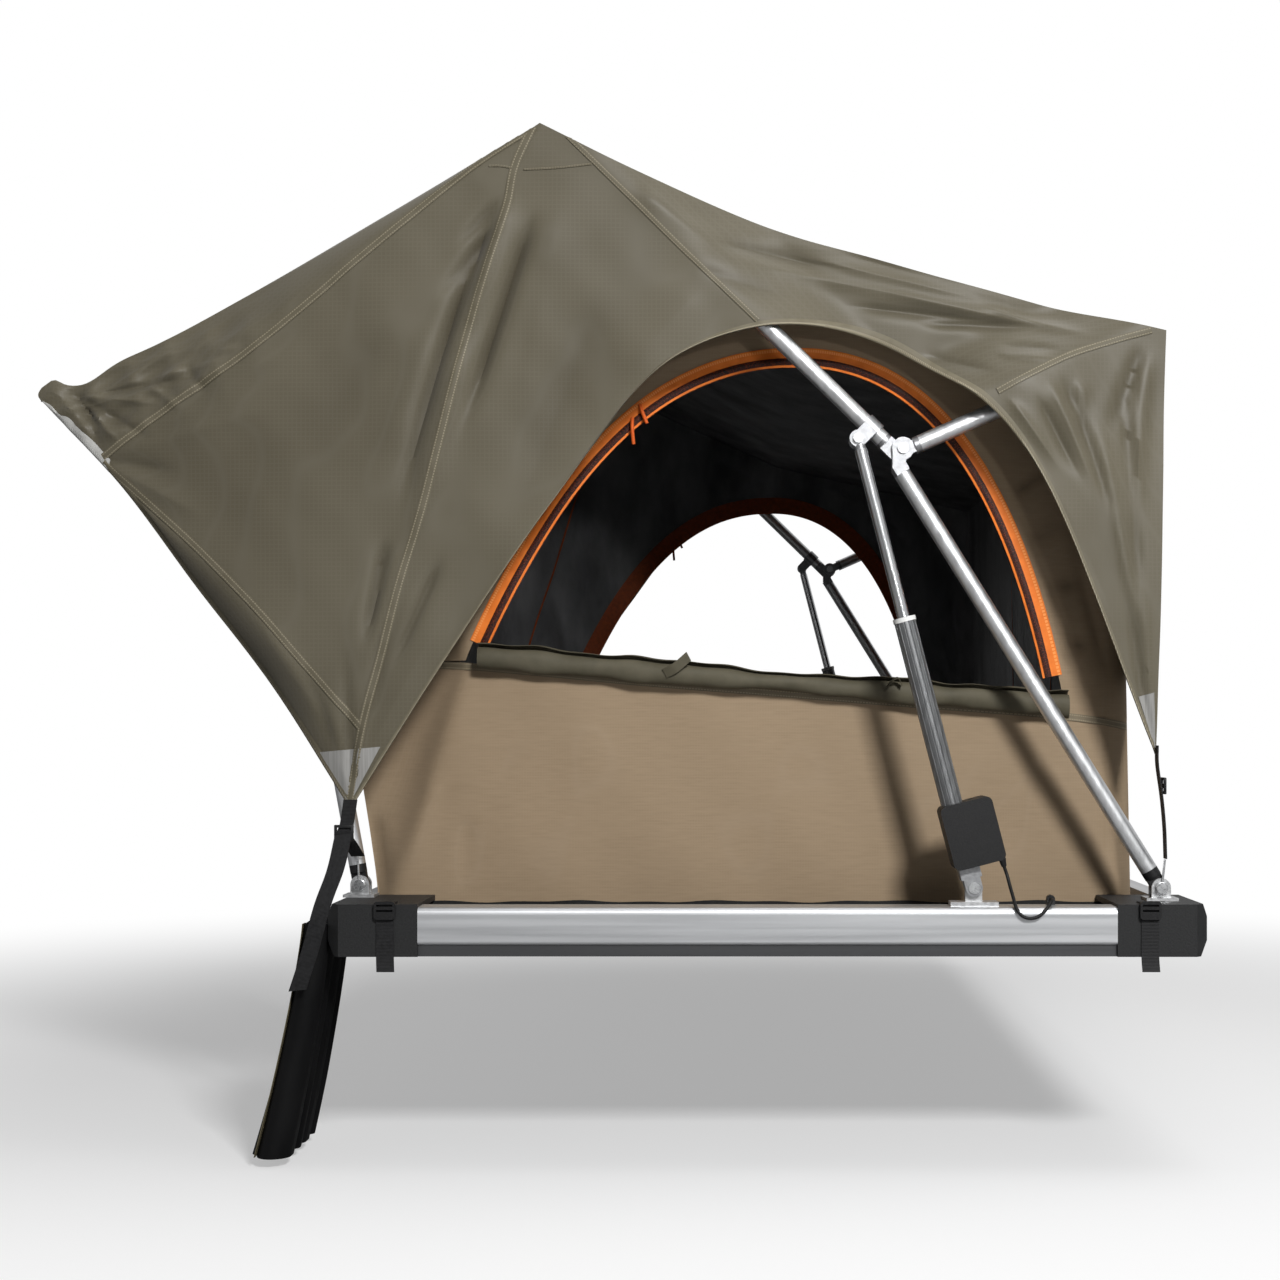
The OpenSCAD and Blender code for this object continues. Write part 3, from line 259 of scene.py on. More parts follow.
blackNylon = surface("blackNylon", (0.006, 0.006, 0.0065), (0.012, 0.012, 0.0125), 500,
                     rough=(0.35, 0.5), bump=0.2, depth=0.0004)
motorPlastic = surface("motorPlastic", (0.007, 0.007, 0.0075), (0.013, 0.013, 0.0135), 600,
                       rough=(0.42, 0.56), depth=0.0004)
whiteNylon = surface("whiteNylon", (0.72, 0.72, 0.7), (0.8, 0.8, 0.78), 300,
                     rough=(0.4, 0.5), bump=0.1, depth=0.0004)
leadRubber = surface("leadRubber", (0.006, 0.006, 0.006), (0.012, 0.012, 0.012), 700,
                     rough=(0.4, 0.55), bump=0.2, depth=0.0003)
boardPaint = surface("boardPaint", (0.05, 0.05, 0.052), (0.08, 0.08, 0.082), 40, (1, 0.2, 1),
                     bump=0.2, depth=0.0008)

finishes = {
    railMetal: ("near_rail", "far_rail"),
    sideMetal: ("left_rail", "right_rail", "mounting_channels"),
    tubeMetal: ("leg_tubes", "ridge_tubes", "ridge_bar", "eave_arms", "eave_bar", "entrance_legs",
                "entrance_bar", "awning_arms", "awning_bar"),
    castMetal: ("leg_knuckles", "ridge_knuckles", "eave_knuckles", "rod_collars", "gear_bases", "rod_eyes"),
    flutedMetal: ("actuator_tubes",),
    plateSteel: ("leg_brackets", "bow_brackets", "actuator_feet"),
    rodSteel: ("actuator_rods",),
    boltSteel: ("leg_pivot_bolts", "bow_pivot_bolts", "actuator_pivot_pins", "elbow_pins",
                "awning_hinge_pins", "rod_pins", "fly_hooks"),
    capPlastic: ("corner_caps",),
    blackNylon: ("leg_foot_plugs", "entrance_foot_plugs", "ridge_corners", "eave_corners", "entrance_corners",
                 "awning_corners", "awning_hinges", "awning_knuckles", "cap_buckles", "fly_strap_buckles",
                 "cable_glands", "lead_relief"),
    motorPlastic: ("motor_housings",),
    whiteNylon: ("wiper_rings",),
    boardPaint: ("floor_panel",),
}

# the rails' lower lip, up to this height, is darker than their face
lipTop = 0.0165
for metal in (railMetal, sideMetal):
    tree = metal.node_tree
    where = add(tree, "TexCoord")
    split = add(tree, "SeparateXYZ")
    under = add(tree, "Math", {1: lipTop}, operation="LESS_THAN")
    wire(tree, (where, "Object", split, "Vector"), (split, "Z", under, 0))
    overColour(tree, under, "Value", (0.1, 0.102, 0.106))
for plastic in (capPlastic, motorPlastic, blackNylon):
    setShader(plastic, "Specular IOR Level", 0.3)
for material, names in finishes.items():
    for name in names:
        nodes[name].data.materials.clear()
        nodes[name].data.materials.append(material)
print("hard parts have their finishes")


def cornersOf(piece):
    flat = np.empty(len(piece.data.vertices) * 3)
    piece.data.vertices.foreach_get("co", flat)
    return flat.reshape(-1, 3)


# a flat grid whose points go where place(u, v) says, in millimetres
def grid(name, columns, rows, place):
    bpy.ops.mesh.primitive_grid_add(x_subdivisions=columns, y_subdivisions=rows, size=2)
    piece = bpy.context.object
    piece.name = name
    piece.data.name = name
    u, v = (cornersOf(piece)[:, :2].T + 1) / 2
    points = np.asarray(place(u, v), float)
    piece.data.vertices.foreach_set("co", (points / 1000).ravel())
    piece.data.update()
    return piece


# smooth curve through points, with t from 0 to 1 along its length
def through(points, t):
    p = np.asarray(points, float)
    p = np.vstack([2 * p[0] - p[1], p, 2 * p[-1] - p[-2]])
    k = len(p) - 3
    s = np.clip(np.asarray(t, float) * k, 0, k - 1e-9)
    i = s.astype(int)
    f = (s - i)[:, None]
    a, b, c, d = p[i], p[i + 1], p[i + 2], p[i + 3]
    square, cube = 2 * a - 5 * b + 4 * c - d, 3 * b - 3 * c + d - a
    return 0.5 * (2 * b + (c - a) * f + square * f * f + cube * f ** 3)


def stepsOf(line):
    return np.linalg.norm(np.diff(line, axis=0), axis=1)


def lengthOf(line):
    return stepsOf(line).sum()


def headingOf(line):
    ahead = np.gradient(line, axis=0)
    return ahead / np.linalg.norm(ahead, axis=1)[:, None]


# points at equal distances on the curve
def evenly(points, count):
    line = through(points, np.linspace(0, 1, 40 * len(points)))
    run = np.concatenate([[0], np.cumsum(stepsOf(line))])
    want = np.linspace(0, run[-1], count)
    return np.stack([np.interp(want, run, line[:, k]) for k in range(3)], 1)


def smooth(x):
    x = np.clip(x, 0, 1)
    return x * x * (3 - 2 * x)


# sum of waves, each as height, rate and start
def ripples(x, waves):
    return sum(high * np.sin(rate * x + start) for high, rate, start in waves)


# how far x is on its way from start to stop
def share(x, start, stop):
    return np.clip((x - start) / np.maximum(stop - start, 1e-6), 0, 1)


# round tube along a line, closed by a weld
def tube(name, points, radius, sides=12, step=4.0):
    count = max(8, int(lengthOf(evenly(points, 400)) / step))
    line = evenly(points, count + 1)
    ahead = headingOf(line)
    side = np.empty_like(line)
    last = np.cross(ahead[0], (0, 0, 1) if abs(ahead[0][2]) < 0.9 else (1, 0, 0))
    for k, way in enumerate(ahead):
        last = last - way * (last @ way)
        last = last / np.linalg.norm(last)
        side[k] = last
    other = np.cross(ahead, side)

    def place(u, v):
        k = np.rint(u * count).astype(int)
        turn = v[:, None] * 2 * math.pi
        return line[k] + radius * (np.cos(turn) * side[k] + np.sin(turn) * other[k])

    piece = grid(name, count, sides, place)
    closeUp(piece)
    return piece


# merges points nearer than gap, in metres, and stays in edit mode
def weld(piece, gap):
    bpy.context.view_layer.objects.active = piece
    bpy.ops.object.mode_set(mode="EDIT")
    bpy.ops.mesh.select_all(action="SELECT")
    bpy.ops.mesh.remove_doubles(threshold=gap)


# turns all faces outward and leaves edit mode
def turnOutward():
    bpy.ops.mesh.select_all(action="SELECT")
    bpy.ops.mesh.normals_make_consistent(inside=False)
    bpy.ops.object.mode_set(mode="OBJECT")


def closeUp(piece):
    weld(piece, 0.00002)
    bpy.ops.mesh.select_all(action="DESELECT")
    bpy.ops.mesh.select_mode(type="EDGE")
    bpy.ops.mesh.select_non_manifold(extend=False)
    bpy.ops.mesh.fill()
    turnOutward()


def chooseOnly(*pieces):
    bpy.ops.object.select_all(action="DESELECT")
    for piece in pieces:
        piece.select_set(True)
    bpy.context.view_layer.objects.active = pieces[0]


def apply(piece, kind, **values):
    chooseOnly(piece)
    change = piece.modifiers.new(kind.title(), kind)
    for key, value in values.items():
        setattr(change, key, value)
    bpy.ops.object.modifier_apply(modifier=change.name)


# thickness in millimetres; offset 0 is half to each side, -1 all inward
def thicken(piece, thick, offset=0, **values):
    apply(piece, "SOLIDIFY", thickness=thick / 1000, offset=offset, **values)


def join(name, parts):
    chooseOnly(*parts)
    bpy.ops.object.join()
    piece = bpy.context.object
    piece.name = name
    piece.data.name = name
    return piece


def shadeSoft(piece, degrees=40):
    chooseOnly(piece)
    bpy.ops.object.shade_smooth_by_angle(angle=math.radians(degrees))
    bpy.ops.object.select_all(action="DESELECT")


# lead of the near actuator: from the strain relief, a low loop, back into the rail
lead = {
    "points": [(337.9, -1168, 125.4), (342, -1169, 113), (345, -1176, 99), (348, -1189, 83), (351, -1203, 68),
               (359, -1206, 58), (370, -1206, 55), (382, -1206, 58), (393, -1203, 68), (401, -1194, 77),
               (405, -1184, 79), (406, -1172, 78), (406, -1160, 78)],
    "radius": 2.5,
    "steps": 60,
    "stillFrom": 45,
}
leadCord = tube("actuatorLead", lead["points"], lead["radius"], 12, 2.5)
leadCord.data.materials.append(leadRubber)
shadeSoft(leadCord, 60)
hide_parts("actuator_lead")
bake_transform(leadCord)

# fly cloth
flyCloth = surface("flyCloth", (0.1, 0.087, 0.058), (0.124, 0.109, 0.075), 5, rough=(0.44, 0.56),
                   bump=0.1, depth=0.004)
setShader(flyCloth, "Sheen Weight", 0.12)
threads(flyCloth, 0.0065, 0.01, 0.03)


# painted shade: the cloth's colour is darkened where it is creased inward, standing in for shadow in the fold
# valleys
def paintCreaseShade(material, shade):
    tree = material.node_tree
    overColour(tree, add(tree, "Attribute", attribute_name="crease"), "Fac", shade, "MULTIPLY")


# folds this deep get the full painted crease shade, on cloth further out than past
def markCreaseShade(piece, folds, full, past):
    spots = cornersOf(piece) * 1000
    depth = np.clip(-foldAt(spots[:, 0], spots[:, 2], folds) / full, 0, 1) * (np.abs(spots[:, 1]) > past)
    piece.data.attributes.new("crease", "FLOAT", "POINT").data.foreach_set("value", depth)


# painted shade darkens the fly cloth in its crease valleys
paintCreaseShade(flyCloth, (0.55, 0.53, 0.49))

# the fly's cut: roof line and hem at each station from the awning tip to the eave, as x, y, z or x, z;
# hollows are station, spread and depth, and the tip's lip is x, width and height;
# folds fade at a rate, to a share at the hem and from just over the roof line; ripples and waves are
# height, then rates
flyCut = {
    "roofLeft": [(-1062, -1084, 822), (-910, -1084, 879), (-762, -1084, 957), (-545, -1110, 1074),
                 (-327, -1140, 1194)],
    "hemLeft": [(-1060, -1084, 800), (-945, -1096, 680), (-836, -1090, 532), (-722, -1094, 384),
                (-599, -1142, 207)],
    "seamLeft": [0, 0.42, 0.788, 0.944, 1],
    "seamDepth": [-1086, -1106, -1122, -1136, -1142],
    "innerLeft": [0, 0.015, 0.115, 0.098, 0.12],
    "innerDepth": [-1086, -1100, -1120, -1134, -1143],
    "roofRight": [(-327, 1194), (-211, 1138), (-67, 1080), (45, 1040), (156, 1010), (269, 978),
                  (403, 945), (582, 902)],
    "hemRight": [(-599, 207), (-457, 431), (-309, 649), (-142, 851), (65, 907), (240, 846),
                 (394, 692), (560, 284)],
    "ridgeLine": (-288, 1177, 0.702, 0.712),
    "eaveLine": (329, 805, -0.394, 0.919),
    "panel": -1142,
    "drawnIn": 46,
    "drawnOver": (120, 100),
    "eaveIn": 33,
    "eaveFrom": 9,
    "eaveReach": 1.3,
    "roofBend": 1.4,
    "hollows": ((4, 1.1, 14), (0, 0.14, 7)),
    "tipLip": ((-1046, 13, 9), (-1000, 36, -16)),
    "foldLimits": (-20, 18),
    "hemFade": (12, 0.25),
    "roofFade": (14, 1.02),
    "fullCreaseShade": 13,
    "sag": 14,
    "roofRipple": (2.5, 0.009, 0.012),
    "gableRow": 0.003,
    "sideHem": 650,
    "sideArch": 2.6,
    "sideWaves": ((4.2, 40, 2), (2.8, 63, 0)),
    "sideFade": 1.1,
    "thick": 1.6,
    "flatSide": 2.6,
}
# stations of the peak and of the eave
peak, eave = 4, 11

# folds of the end panels: from x, z to x, z, then width, height and how far the fold bows
flyFolds = [
    (-372, 1085, -432, 887, 22, 11), (-432, 887, -520, 560, 22, 11), (-386, 1078, -534, 600, 12, -19, 16),
    (-339, 1055, -448, 725, 12, -18), (-548, 590, -584, 425, 10, -16), (-472, 560, -546, 392, 10, -10),
    (-392, 1078, -450, 1012, 8, -8), (-402, 1040, -478, 935, 9, -8), (-1047, 826, -976, 738, 18, 10),
    (-1018, 816, -966, 754, 11, -13), (-486, 897, -587, 623, 40, 5), (-558, 897, -673, 695, 50, -4),
    (-601, 219, -636, 378, 11, 7), (-598, 226, -608, 450, 9, -7), (-594, 234, -561, 450, 10, 6),
    (-601, 248, -673, 421, 12, -6), (-598, 277, -507, 565, 16, -6), (-608, 219, -428, 565, 22, 5),
    (-630, 320, -760, 522, 18, 5), (-587, 320, -541, 493, 8, -5), (-1005, 809, -861, 793, 9, 7),
    (-1005, 808, -890, 739, 9, -7), (-1002, 803, -936, 730, 8, 7), (-998, 799, -973, 727, 7, -6),
    (-1002, 811, -803, 837, 9, -7), (-998, 812, -731, 868, 10, 6), (-904, 825, -844, 782, 8, 6),
    (-849, 854, -810, 803, 8, -6), (-796, 868, -760, 876, 8, 6), (-973, 715, -846, 695, 14, -6),
    (-969, 710, -803, 623, 18, 5), (-973, 715, -673, 796, 24, 4), (-67, 1027, 149, 987, 13, -8),
    (-10, 995, 279, 940, 15, 6), (127, 940, 365, 914, 10, -8), (178, 958, 466, 897, 11, 7),
    (228, 914, 423, 909, 8, -7), (315, 938, 481, 894, 8, 6), (344, 881, 432, 873, 6, -5),
    (336, 865, 423, 858, 6, 5), (-96, 984, 48, 940, 18, -5), (-183, 1099, -67, 1013, 16, 6),
    (48, 1013, 336, 943, 12, 6), (235, 868, 336, 837, 9, -5), (547, 876, 492, 739, 10, -8),
    (553, 868, 521, 565, 11, 8), (432, 825, 510, 601, 12, -8), (394, 796, 455, 674, 11, -8),
    (411, 818, 481, 652, 10, 7), (481, 753, 536, 450, 10, 7), (521, 796, 538, 479, 8, -7),
    (351, 796, 423, 695, 10, 6), (553, 306, 510, 565, 9, -6), (556, 299, 538, 565, 7, 6),
    (459, 825, 437, 739, 9, 5), (-298, 1085, -356, 767, 60, 5), (-241, 940, -385, 565, 55, -5),
    (-96, 955, -212, 825, 40, 4),
]

# uneven cloth: slow waves as height, rate in x and z, and start; small creases as slant, rate and start,
# gathered in a slanting patch near the awning tip
slowWaves = ((1.1, 0.021, 0.013, 0.6), (0.8, -0.017, 0.031, 2.0), (0.5, 0.043, -0.027, 0),
             (0.3, 0.06, 0.05, 1.1))
tipCreases = ((2.09, 0.2, 0.4), (1.78, 0.13, 2.1), (2.42, 0.16, 4.0), (0.35, 0.1, 1.0))
tipPatch = {"x": -930, "z": 824, "slope": 0.3, "long": 170, "wide": 60, "level": 1.4, "high": 5}

# rays onto the end panels start here, and a hit has to be at least this far out, in metres
rayFrom, panelFrom = 1.5, 1.04


# a fold rises along its line and dips a little on both sides
foldShape = {"sharp": 1.35, "dip": 0.3, "dipWide": 2.3, "start": 4, "early": 0.25, "end": 2.2}


def foldAt(x, z, folds):
    rise = np.zeros_like(x)
    for x0, z0, x1, z1, wide, high, *bow in folds:
        dx, dz = x1 - x0, z1 - z0
        long = math.hypot(dx, dz)
        along = ((x - x0) * dx + (z - z0) * dz) / long ** 2
        off = ((x - x0) * dz - (z - z0) * dx) / long - sum(bow) * 4 * along * (1 - along)
        taper = smooth(foldShape["start"] * along + foldShape["early"])
        taper = taper * smooth(foldShape["end"] * (1 - along))
        crest = np.exp(-np.abs(off / wide) ** foldShape["sharp"])
        dip = foldShape["dip"] * np.exp(-(off / (foldShape["dipWide"] * wide)) ** 2)
        rise += high * taper * (crest - dip)
    return rise


def slack(x, z):
    slow = sum(high * np.sin(a * x + b * z + start) for high, a, b, start in slowWaves)
    small = sum(1 - np.abs(np.sin(rate * (x * math.cos(slant) + z * math.sin(slant)) / 2 + start))
                for slant, rate, start in tipCreases)
    along = x - tipPatch["x"]
    across = z - tipPatch["z"] - tipPatch["slope"] * along
    near = np.exp(-(along / tipPatch["long"]) ** 2 - (across / tipPatch["wide"]) ** 2)
    return slow + near * (small - tipPatch["level"]) * tipPatch["high"]


# a point of the near end panel: s counts the stations, t goes from the hem to the roof line
def flyPoint(s, t):
    left = s <= peak
    up = np.clip(t, 0, 1)
    onLeft, onRight = share(s, 0, peak), share(s, peak, eave)
    roof = through(flyCut["roofLeft"], onLeft)
    hem = through(flyCut["hemLeft"], onLeft)
    low = np.where(left[:, None], hem[:, ::2], through(flyCut["hemRight"], onRight))
    high = np.where(left[:, None], roof[:, ::2], through(flyCut["roofRight"], onRight))
    x, z = (low + (high - low) * np.asarray(t)[:, None]).T
    for station, spread, deep in flyCut["hollows"]:
        x = x - deep * np.sin(math.pi * up) * np.exp(-((s - station) / spread) ** 2)
    lip = sum(rise * np.exp(-((x - at) / wide) ** 2) for at, wide, rise in flyCut["tipLip"])
    z = z + np.where(left, lip, 0) * up

    # left of the peak the panel bends at its two seams
    line = np.stack([flyCut[key] for key in ("innerLeft", "seamLeft", "innerDepth", "seamDepth")], 1)
    inner, seam, innerY, seamY = through(line, onLeft).T
    seam = np.clip(seam, inner + 0.02, 1)
    hemY, roofY = hem[:, 1], roof[:, 1]
    y = np.where(up < inner, hemY + (innerY - hemY) * np.sin(share(up, 0, inner) * math.pi / 2),
                 np.where(up < seam, innerY + (seamY - innerY) * share(up, inner, seam),
                          seamY + (roofY - seamY) * share(up, seam, 1) ** flyCut["roofBend"]))

    # right of it the panel is drawn in between ridge and eave seams
    past = [((x - x0) * nx + (z - z0) * nz) / over
            for (x0, z0, nx, nz), over in zip((flyCut["ridgeLine"], flyCut["eaveLine"]), flyCut["drawnOver"])]
    back = flyCut["drawnIn"] * smooth(np.minimum(*past))
    nearEave = smooth(share(s, flyCut["eaveFrom"], eave))
    back = back + flyCut["eaveIn"] * nearEave * smooth(1 - flyCut["eaveReach"] * (1 - up))
    y = np.where(left, y, flyCut["panel"] + back)

    # folds fade out at the hem and at the roof line
    hemRate, hemKeep = flyCut["hemFade"]
    roofRate, roofEnd = flyCut["roofFade"]
    fades = (smooth(up * hemRate) * (1 - hemKeep) + hemKeep) * smooth((roofEnd - up) * roofRate)
    y = y - np.clip(foldAt(x, z, flyFolds) + slack(x, z), *flyCut["foldLimits"]) * fades
    return np.stack([x, y, z], 1)


# a piece that has its materials already is given None
def softGoods(piece, material, kind="fly", degrees=60):
    if material:
        piece.data.materials.append(material)
    shadeSoft(piece, degrees)
    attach(piece, "base")
    if kind:
        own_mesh(piece)
    return piece


# the far end mirrors the near end
def farEnd(place):
    return lambda u, v: place(u, v) * (1, -1, 1)


def nearPlace(u, v):
    return flyPoint(u * eave, v)


# the roof sags a little between the cross bars;
# its first and last rows are narrow, to keep the gable edges crisp
def roofPlace(u, v):
    row = flyCut["gableRow"]
    v = np.interp(v * roofRows, (0, 1, roofRows - 1, roofRows), (0, row, 1 - row, 1))
    s = u * eave
    point = flyPoint(s, np.ones_like(s))
    point[:, 1] *= 1 - 2 * v
    between = np.abs(np.sin(math.pi * np.where(s < peak, s / 2, (s - peak) / (eave - peak))))
    high, rateX, rateY = flyCut["roofRipple"]
    uneven = high * np.sin(rateY * point[:, 1] + rateX * point[:, 0])
    point[:, 2] -= between * np.sin(v * math.pi) * (flyCut["sag"] + uneven)
    return point


# the eave side's hem arches up between the corners
def sidePlace(u, v):
    point = flyPoint(np.full_like(u, eave), v)
    corner, roof = flyCut["hemRight"][-1][1], flyCut["roofRight"][-1][1]
    low = corner + (flyCut["sideHem"] - corner) * (1 - np.abs(2 * u - 1) ** flyCut["sideArch"])
    point[:, 2] = low + (roof - low) * v
    point[:, 1] *= 1 - 2 * u
    waves = sum(high * np.sin(rate * u + lean * v) for high, rate, lean in flyCut["sideWaves"])
    point[:, 0] += np.sin(u * math.pi) * waves * smooth(flyCut["sideFade"] - v)
    return point


columns, nearRows, farRows, roofRows, sideColumns = 264, 112, 36, 14, 24
fly = join("flySheet", [
    grid("flySheet", columns, nearRows, nearPlace),
    grid("flyFar", columns, farRows, farEnd(nearPlace)),
    grid("flyRoof", columns, roofRows, roofPlace),
    grid("flySide", sideColumns, nearRows, sidePlace),
])
weld(fly, 0.0004)
turnOutward()
fly.data.update()
onNearPanel = Vector((-0.4, -1.14, 0.7))
middle = min(fly.data.polygons, key=lambda f: (f.center - onNearPanel).length)
if middle.normal.y > 0:
    fly.data.flip_normals()
flyTree = BVHTree.FromPolygons([v.co.copy() for v in fly.data.vertices],
                               [tuple(f.vertices) for f in fly.data.polygons])
# how deep the painted crease shade is at each point of the fly's end panels
markCreaseShade(fly, flyFolds, flyCut["fullCreaseShade"], panelFrom * 1000)
thicken(fly, flyCut["thick"], -1)
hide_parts("fly_sheet")
softGoods(fly, flyCloth, "fly", 50)


# the two directions of a piece's own uv
def ownUv(tree):
    own = add(tree, "UVMap", uv_map="UVMap")
    split = add(tree, "SeparateXYZ")
    wire(tree, (own, "UV", split, "Vector"))
    return split


# stitched tape on the piece's own uv: rows of dashes
def stitched(name, dark, light, thread, rows):
    dash, half = 0.004, 0.07
    material = surface(name, dark, light, 60, rough=(0.5, 0.62), bump=0.15)
    tree = material.node_tree
    split = ownUv(tree)
    wave = add(tree, "Math", {1: dash / 2}, operation="PINGPONG")
    on = add(tree, "Math", {1: dash / 6}, operation="GREATER_THAN")
    lines = [add(tree, "Math", {1: row, 2: half}, operation="COMPARE") for row in rows]
    sewn = add(tree, "Math", operation="MULTIPLY")
    wire(tree, (split, "X", wave, 0), (wave, "Value", on, 0), (on, "Value", sewn, 0),
         *((split, "Y", line, 0) for line in lines), (largest(tree, lines), "Value", sewn, 1))
    overColour(tree, sewn, "Value", thread)
    return material


# uv length in metres, so that stitches keep their size
def measureUv(piece, length):
    layer = piece.data.uv_layers["UVMap"].data
    flat = np.empty(len(layer) * 2)
    layer.foreach_get("uv", flat)
    flat[0::2] *= length / 1000
    layer.foreach_set("uv", flat)


def facing(piece, direction):
    total = sum((f.normal * f.area for f in piece.data.polygons), Vector())
    if total.dot(Vector(direction)) < 0:
        piece.data.flip_normals()
    return piece


# a strip at the near end and its mirror image at the far end; way 1 turns both outward, -1 inward
def bothEnds(name, columns, rows, place, way=None, length=None):
    near = grid(name, columns, rows, place)
    far = grid(name, columns, rows, farEnd(place))
    far.data.flip_normals()
    for strip, end in ((near, -1), (far, 1)):
        if length:
            measureUv(strip, length)
        if way:
            facing(strip, (0, end * way, 0))
    return join(name, [near, far])


seamCloth = stitched("seamCloth", (0.112, 0.098, 0.065), (0.138, 0.121, 0.084), (0.25, 0.22, 0.155),
                     (0.2, 0.8))
bindingTape = stitched("bindingTape", (0.135, 0.118, 0.078), (0.17, 0.15, 0.104), (0.3, 0.265, 0.19), (0.3,))
tipTape = stitched("tipTape", (0.46, 0.455, 0.43), (0.6, 0.595, 0.57), (0.7, 0.7, 0.67), (0.3,))

# seams drawn on the end panel as width, then x, z, and laid onto the cloth
flySeams = {
    "topSeam": (11, [(-339, 1186), (-405, 1145), (-471, 1096), (-594, 997), (-652, 948), (-757, 865),
                     (-884, 780), (-969, 718)]),
    "innerSeam": (11, [(-969, 711), (-897, 648), (-818, 577), (-732, 490), (-665, 414), (-585, 324)]),
    "centreSeam": (13, [(-337, 1189), (-363, 1131), (-375, 1072), (-402, 987), (-432, 887), (-490, 662),
                        (-526, 541), (-555, 431), (-581, 333), (-600, 219)]),
    "ridgeSeam": (8, [(-288, 1177), (-212, 1103), (-111, 1004), (-13, 910)]),
    "eaveSeam": (10, [(332, 808), (374, 831), (440, 864), (507, 887), (560, 902)]),
    "peakLineLeft": (2.5, [(-400, 1132), (-383, 1132), (-366, 1129)]),
    "peakLineRight": (2.5, [(-350, 1127), (-304, 1129), (-252, 1135)]),
}
seamSteps = 159
seamShape = {"lift": 1.1, "edge": 0.08, "round": 0.3, "thick": 1}
slipMost, slipStep = 40, 2


# the points of an end panel at these x, z; one past the cloth's edge slips back onto it
def onPanel(spots, end):
    for i, (x0, _, z0) in enumerate(spots):
        spots[i, 1] = end * -flyCut["panel"]
        slips = range(0, slipMost, slipStep)
        tries = [spot for slip in slips for spot in ((x0, z0 - slip), (x0 + slip, z0))]
        for x, z in tries:
            hit = flyTree.ray_cast(Vector((x / 1000, end * rayFrom, z / 1000)), Vector((0, -end, 0)))[0]
            if hit and abs(hit.y) > panelFrom:
                spots[i] = x, hit.y * 1000, z
                break
    return spots


def laid(name, path, wide):
    line = evenly([(x, 0, z) for x, z in path], seamSteps + 1)
    ahead = headingOf(line)
    cross = np.stack([ahead[:, 2], 0 * ahead[:, 0], -ahead[:, 0]], 1)
    made = []
    for end in (-1, 1):
        def place(u, v):
            k = np.rint(u * seamSteps).astype(int)
            spots = onPanel(line[k] + cross[k] * ((v - 0.5) * wide)[:, None], end)
            across = np.clip(v, seamShape["edge"], 1 - seamShape["edge"])
            spots[:, 1] += end * seamShape["lift"] * np.sin(math.pi * across) ** seamShape["round"]
            return spots

        strip = grid(name, seamSteps, 4, place)
        measureUv(strip, lengthOf(line))
        if end > 0:
            strip.data.flip_normals()
        made.append(strip)
    return join(name, made)


for name, (wide, path) in flySeams.items():
    strip = laid(name, path, wide)
    thicken(strip, seamShape["thick"])
    softGoods(strip, seamCloth)
print("seams are sewn")


# binding folded over the fly's edge: share of its width inward, and height off the cloth
bindingFold = np.array([(1, 1.0), (0.55, 1.4), (0.06, 1.3), (-0.1, -0.8), (0.06, -2.9), (0.55, -3.0),
                        (1, -2.6)])
# first and last station, width, steps and tape
bindings = {
    "archBinding": (4.02, 10.98, 13, 320, bindingTape),
    "leadingBinding": (0.86, 3.98, 13, 160, bindingTape),
    "tipBinding": (0.03, 0.86, 18, 60, tipTape),
}


def binding(name, first, last, wide, count, tape):
    little = 0.05
    rows = len(bindingFold) - 1

    def place(u, v):
        s = first + (last - first) * u
        rise = flyPoint(s, np.full_like(s, little)) - flyPoint(s, np.zeros_like(s))
        reach = np.maximum(np.linalg.norm(rise, axis=1), 1) / little
        inward, out = (np.interp(v * rows, np.arange(rows + 1), bindingFold[:, k]) for k in range(2))
        point = flyPoint(s, inward * wide / reach)
        point[:, 1] -= out
        return point

    edge = flyPoint(np.linspace(first, last, 200), np.zeros(200))
    return softGoods(bothEnds(name, count, rows, place, length=lengthOf(edge)), tape)


for name, values in bindings.items():
    binding(name, *values)

# grey striped patches sewn on the strap corners, as triangles in x, z
patchCloth = surface("patchCloth", (0.24, 0.235, 0.222), (0.33, 0.324, 0.31), 380, (1, 0.05, 0.02),
                     (0.5, 0.6))
# each patch stops a little short of its tip
patch = {
    "corners": [((-647, 288), (-556, 296), (-601, 213)), ((535, 368), (557, 374), (559, 292))],
    "steps": 24, "tip": 0.97, "lift": 0.9, "thick": 0.8,
}
made = []
for a, b, c in patch["corners"]:
    for end in (-1, 1):
        def place(u, v):
            down = v[:, None] * patch["tip"]
            flat = (np.outer(1 - u, a) + np.outer(u, b)) * (1 - down) + down * np.array(c)
            spots = onPanel(np.stack([flat[:, 0], 0 * u, flat[:, 1]], 1), end)
            spots[:, 1] += end * patch["lift"]
            return spots

        made.append(grid("patch", patch["steps"], patch["steps"], place))
patches = join("cornerPatches", made)
thicken(patches, patch["thick"])
softGoods(patches, patchCloth)
print("fly is bound and patched")

# inner tent: tan canvas outside, black lining inside
tentCloth = surface("tentCloth", (0.285, 0.208, 0.13), (0.315, 0.232, 0.148), 320, (0.12, 0.12, 1),
                    (0.62, 0.75), bump=0.16, depth=0.0006)
threads(tentCloth, 0.004, 0.012, 0.05)
# painted shade darkens the tent canvas in its crease valleys
paintCreaseShade(tentCloth, (0.42, 0.4, 0.37))
liningCloth = surface("liningCloth", (0.09, 0.09, 0.092), (0.27, 0.27, 0.275), 11, (1, 1, 0.4),
                      bump=0.6, depth=0.02)

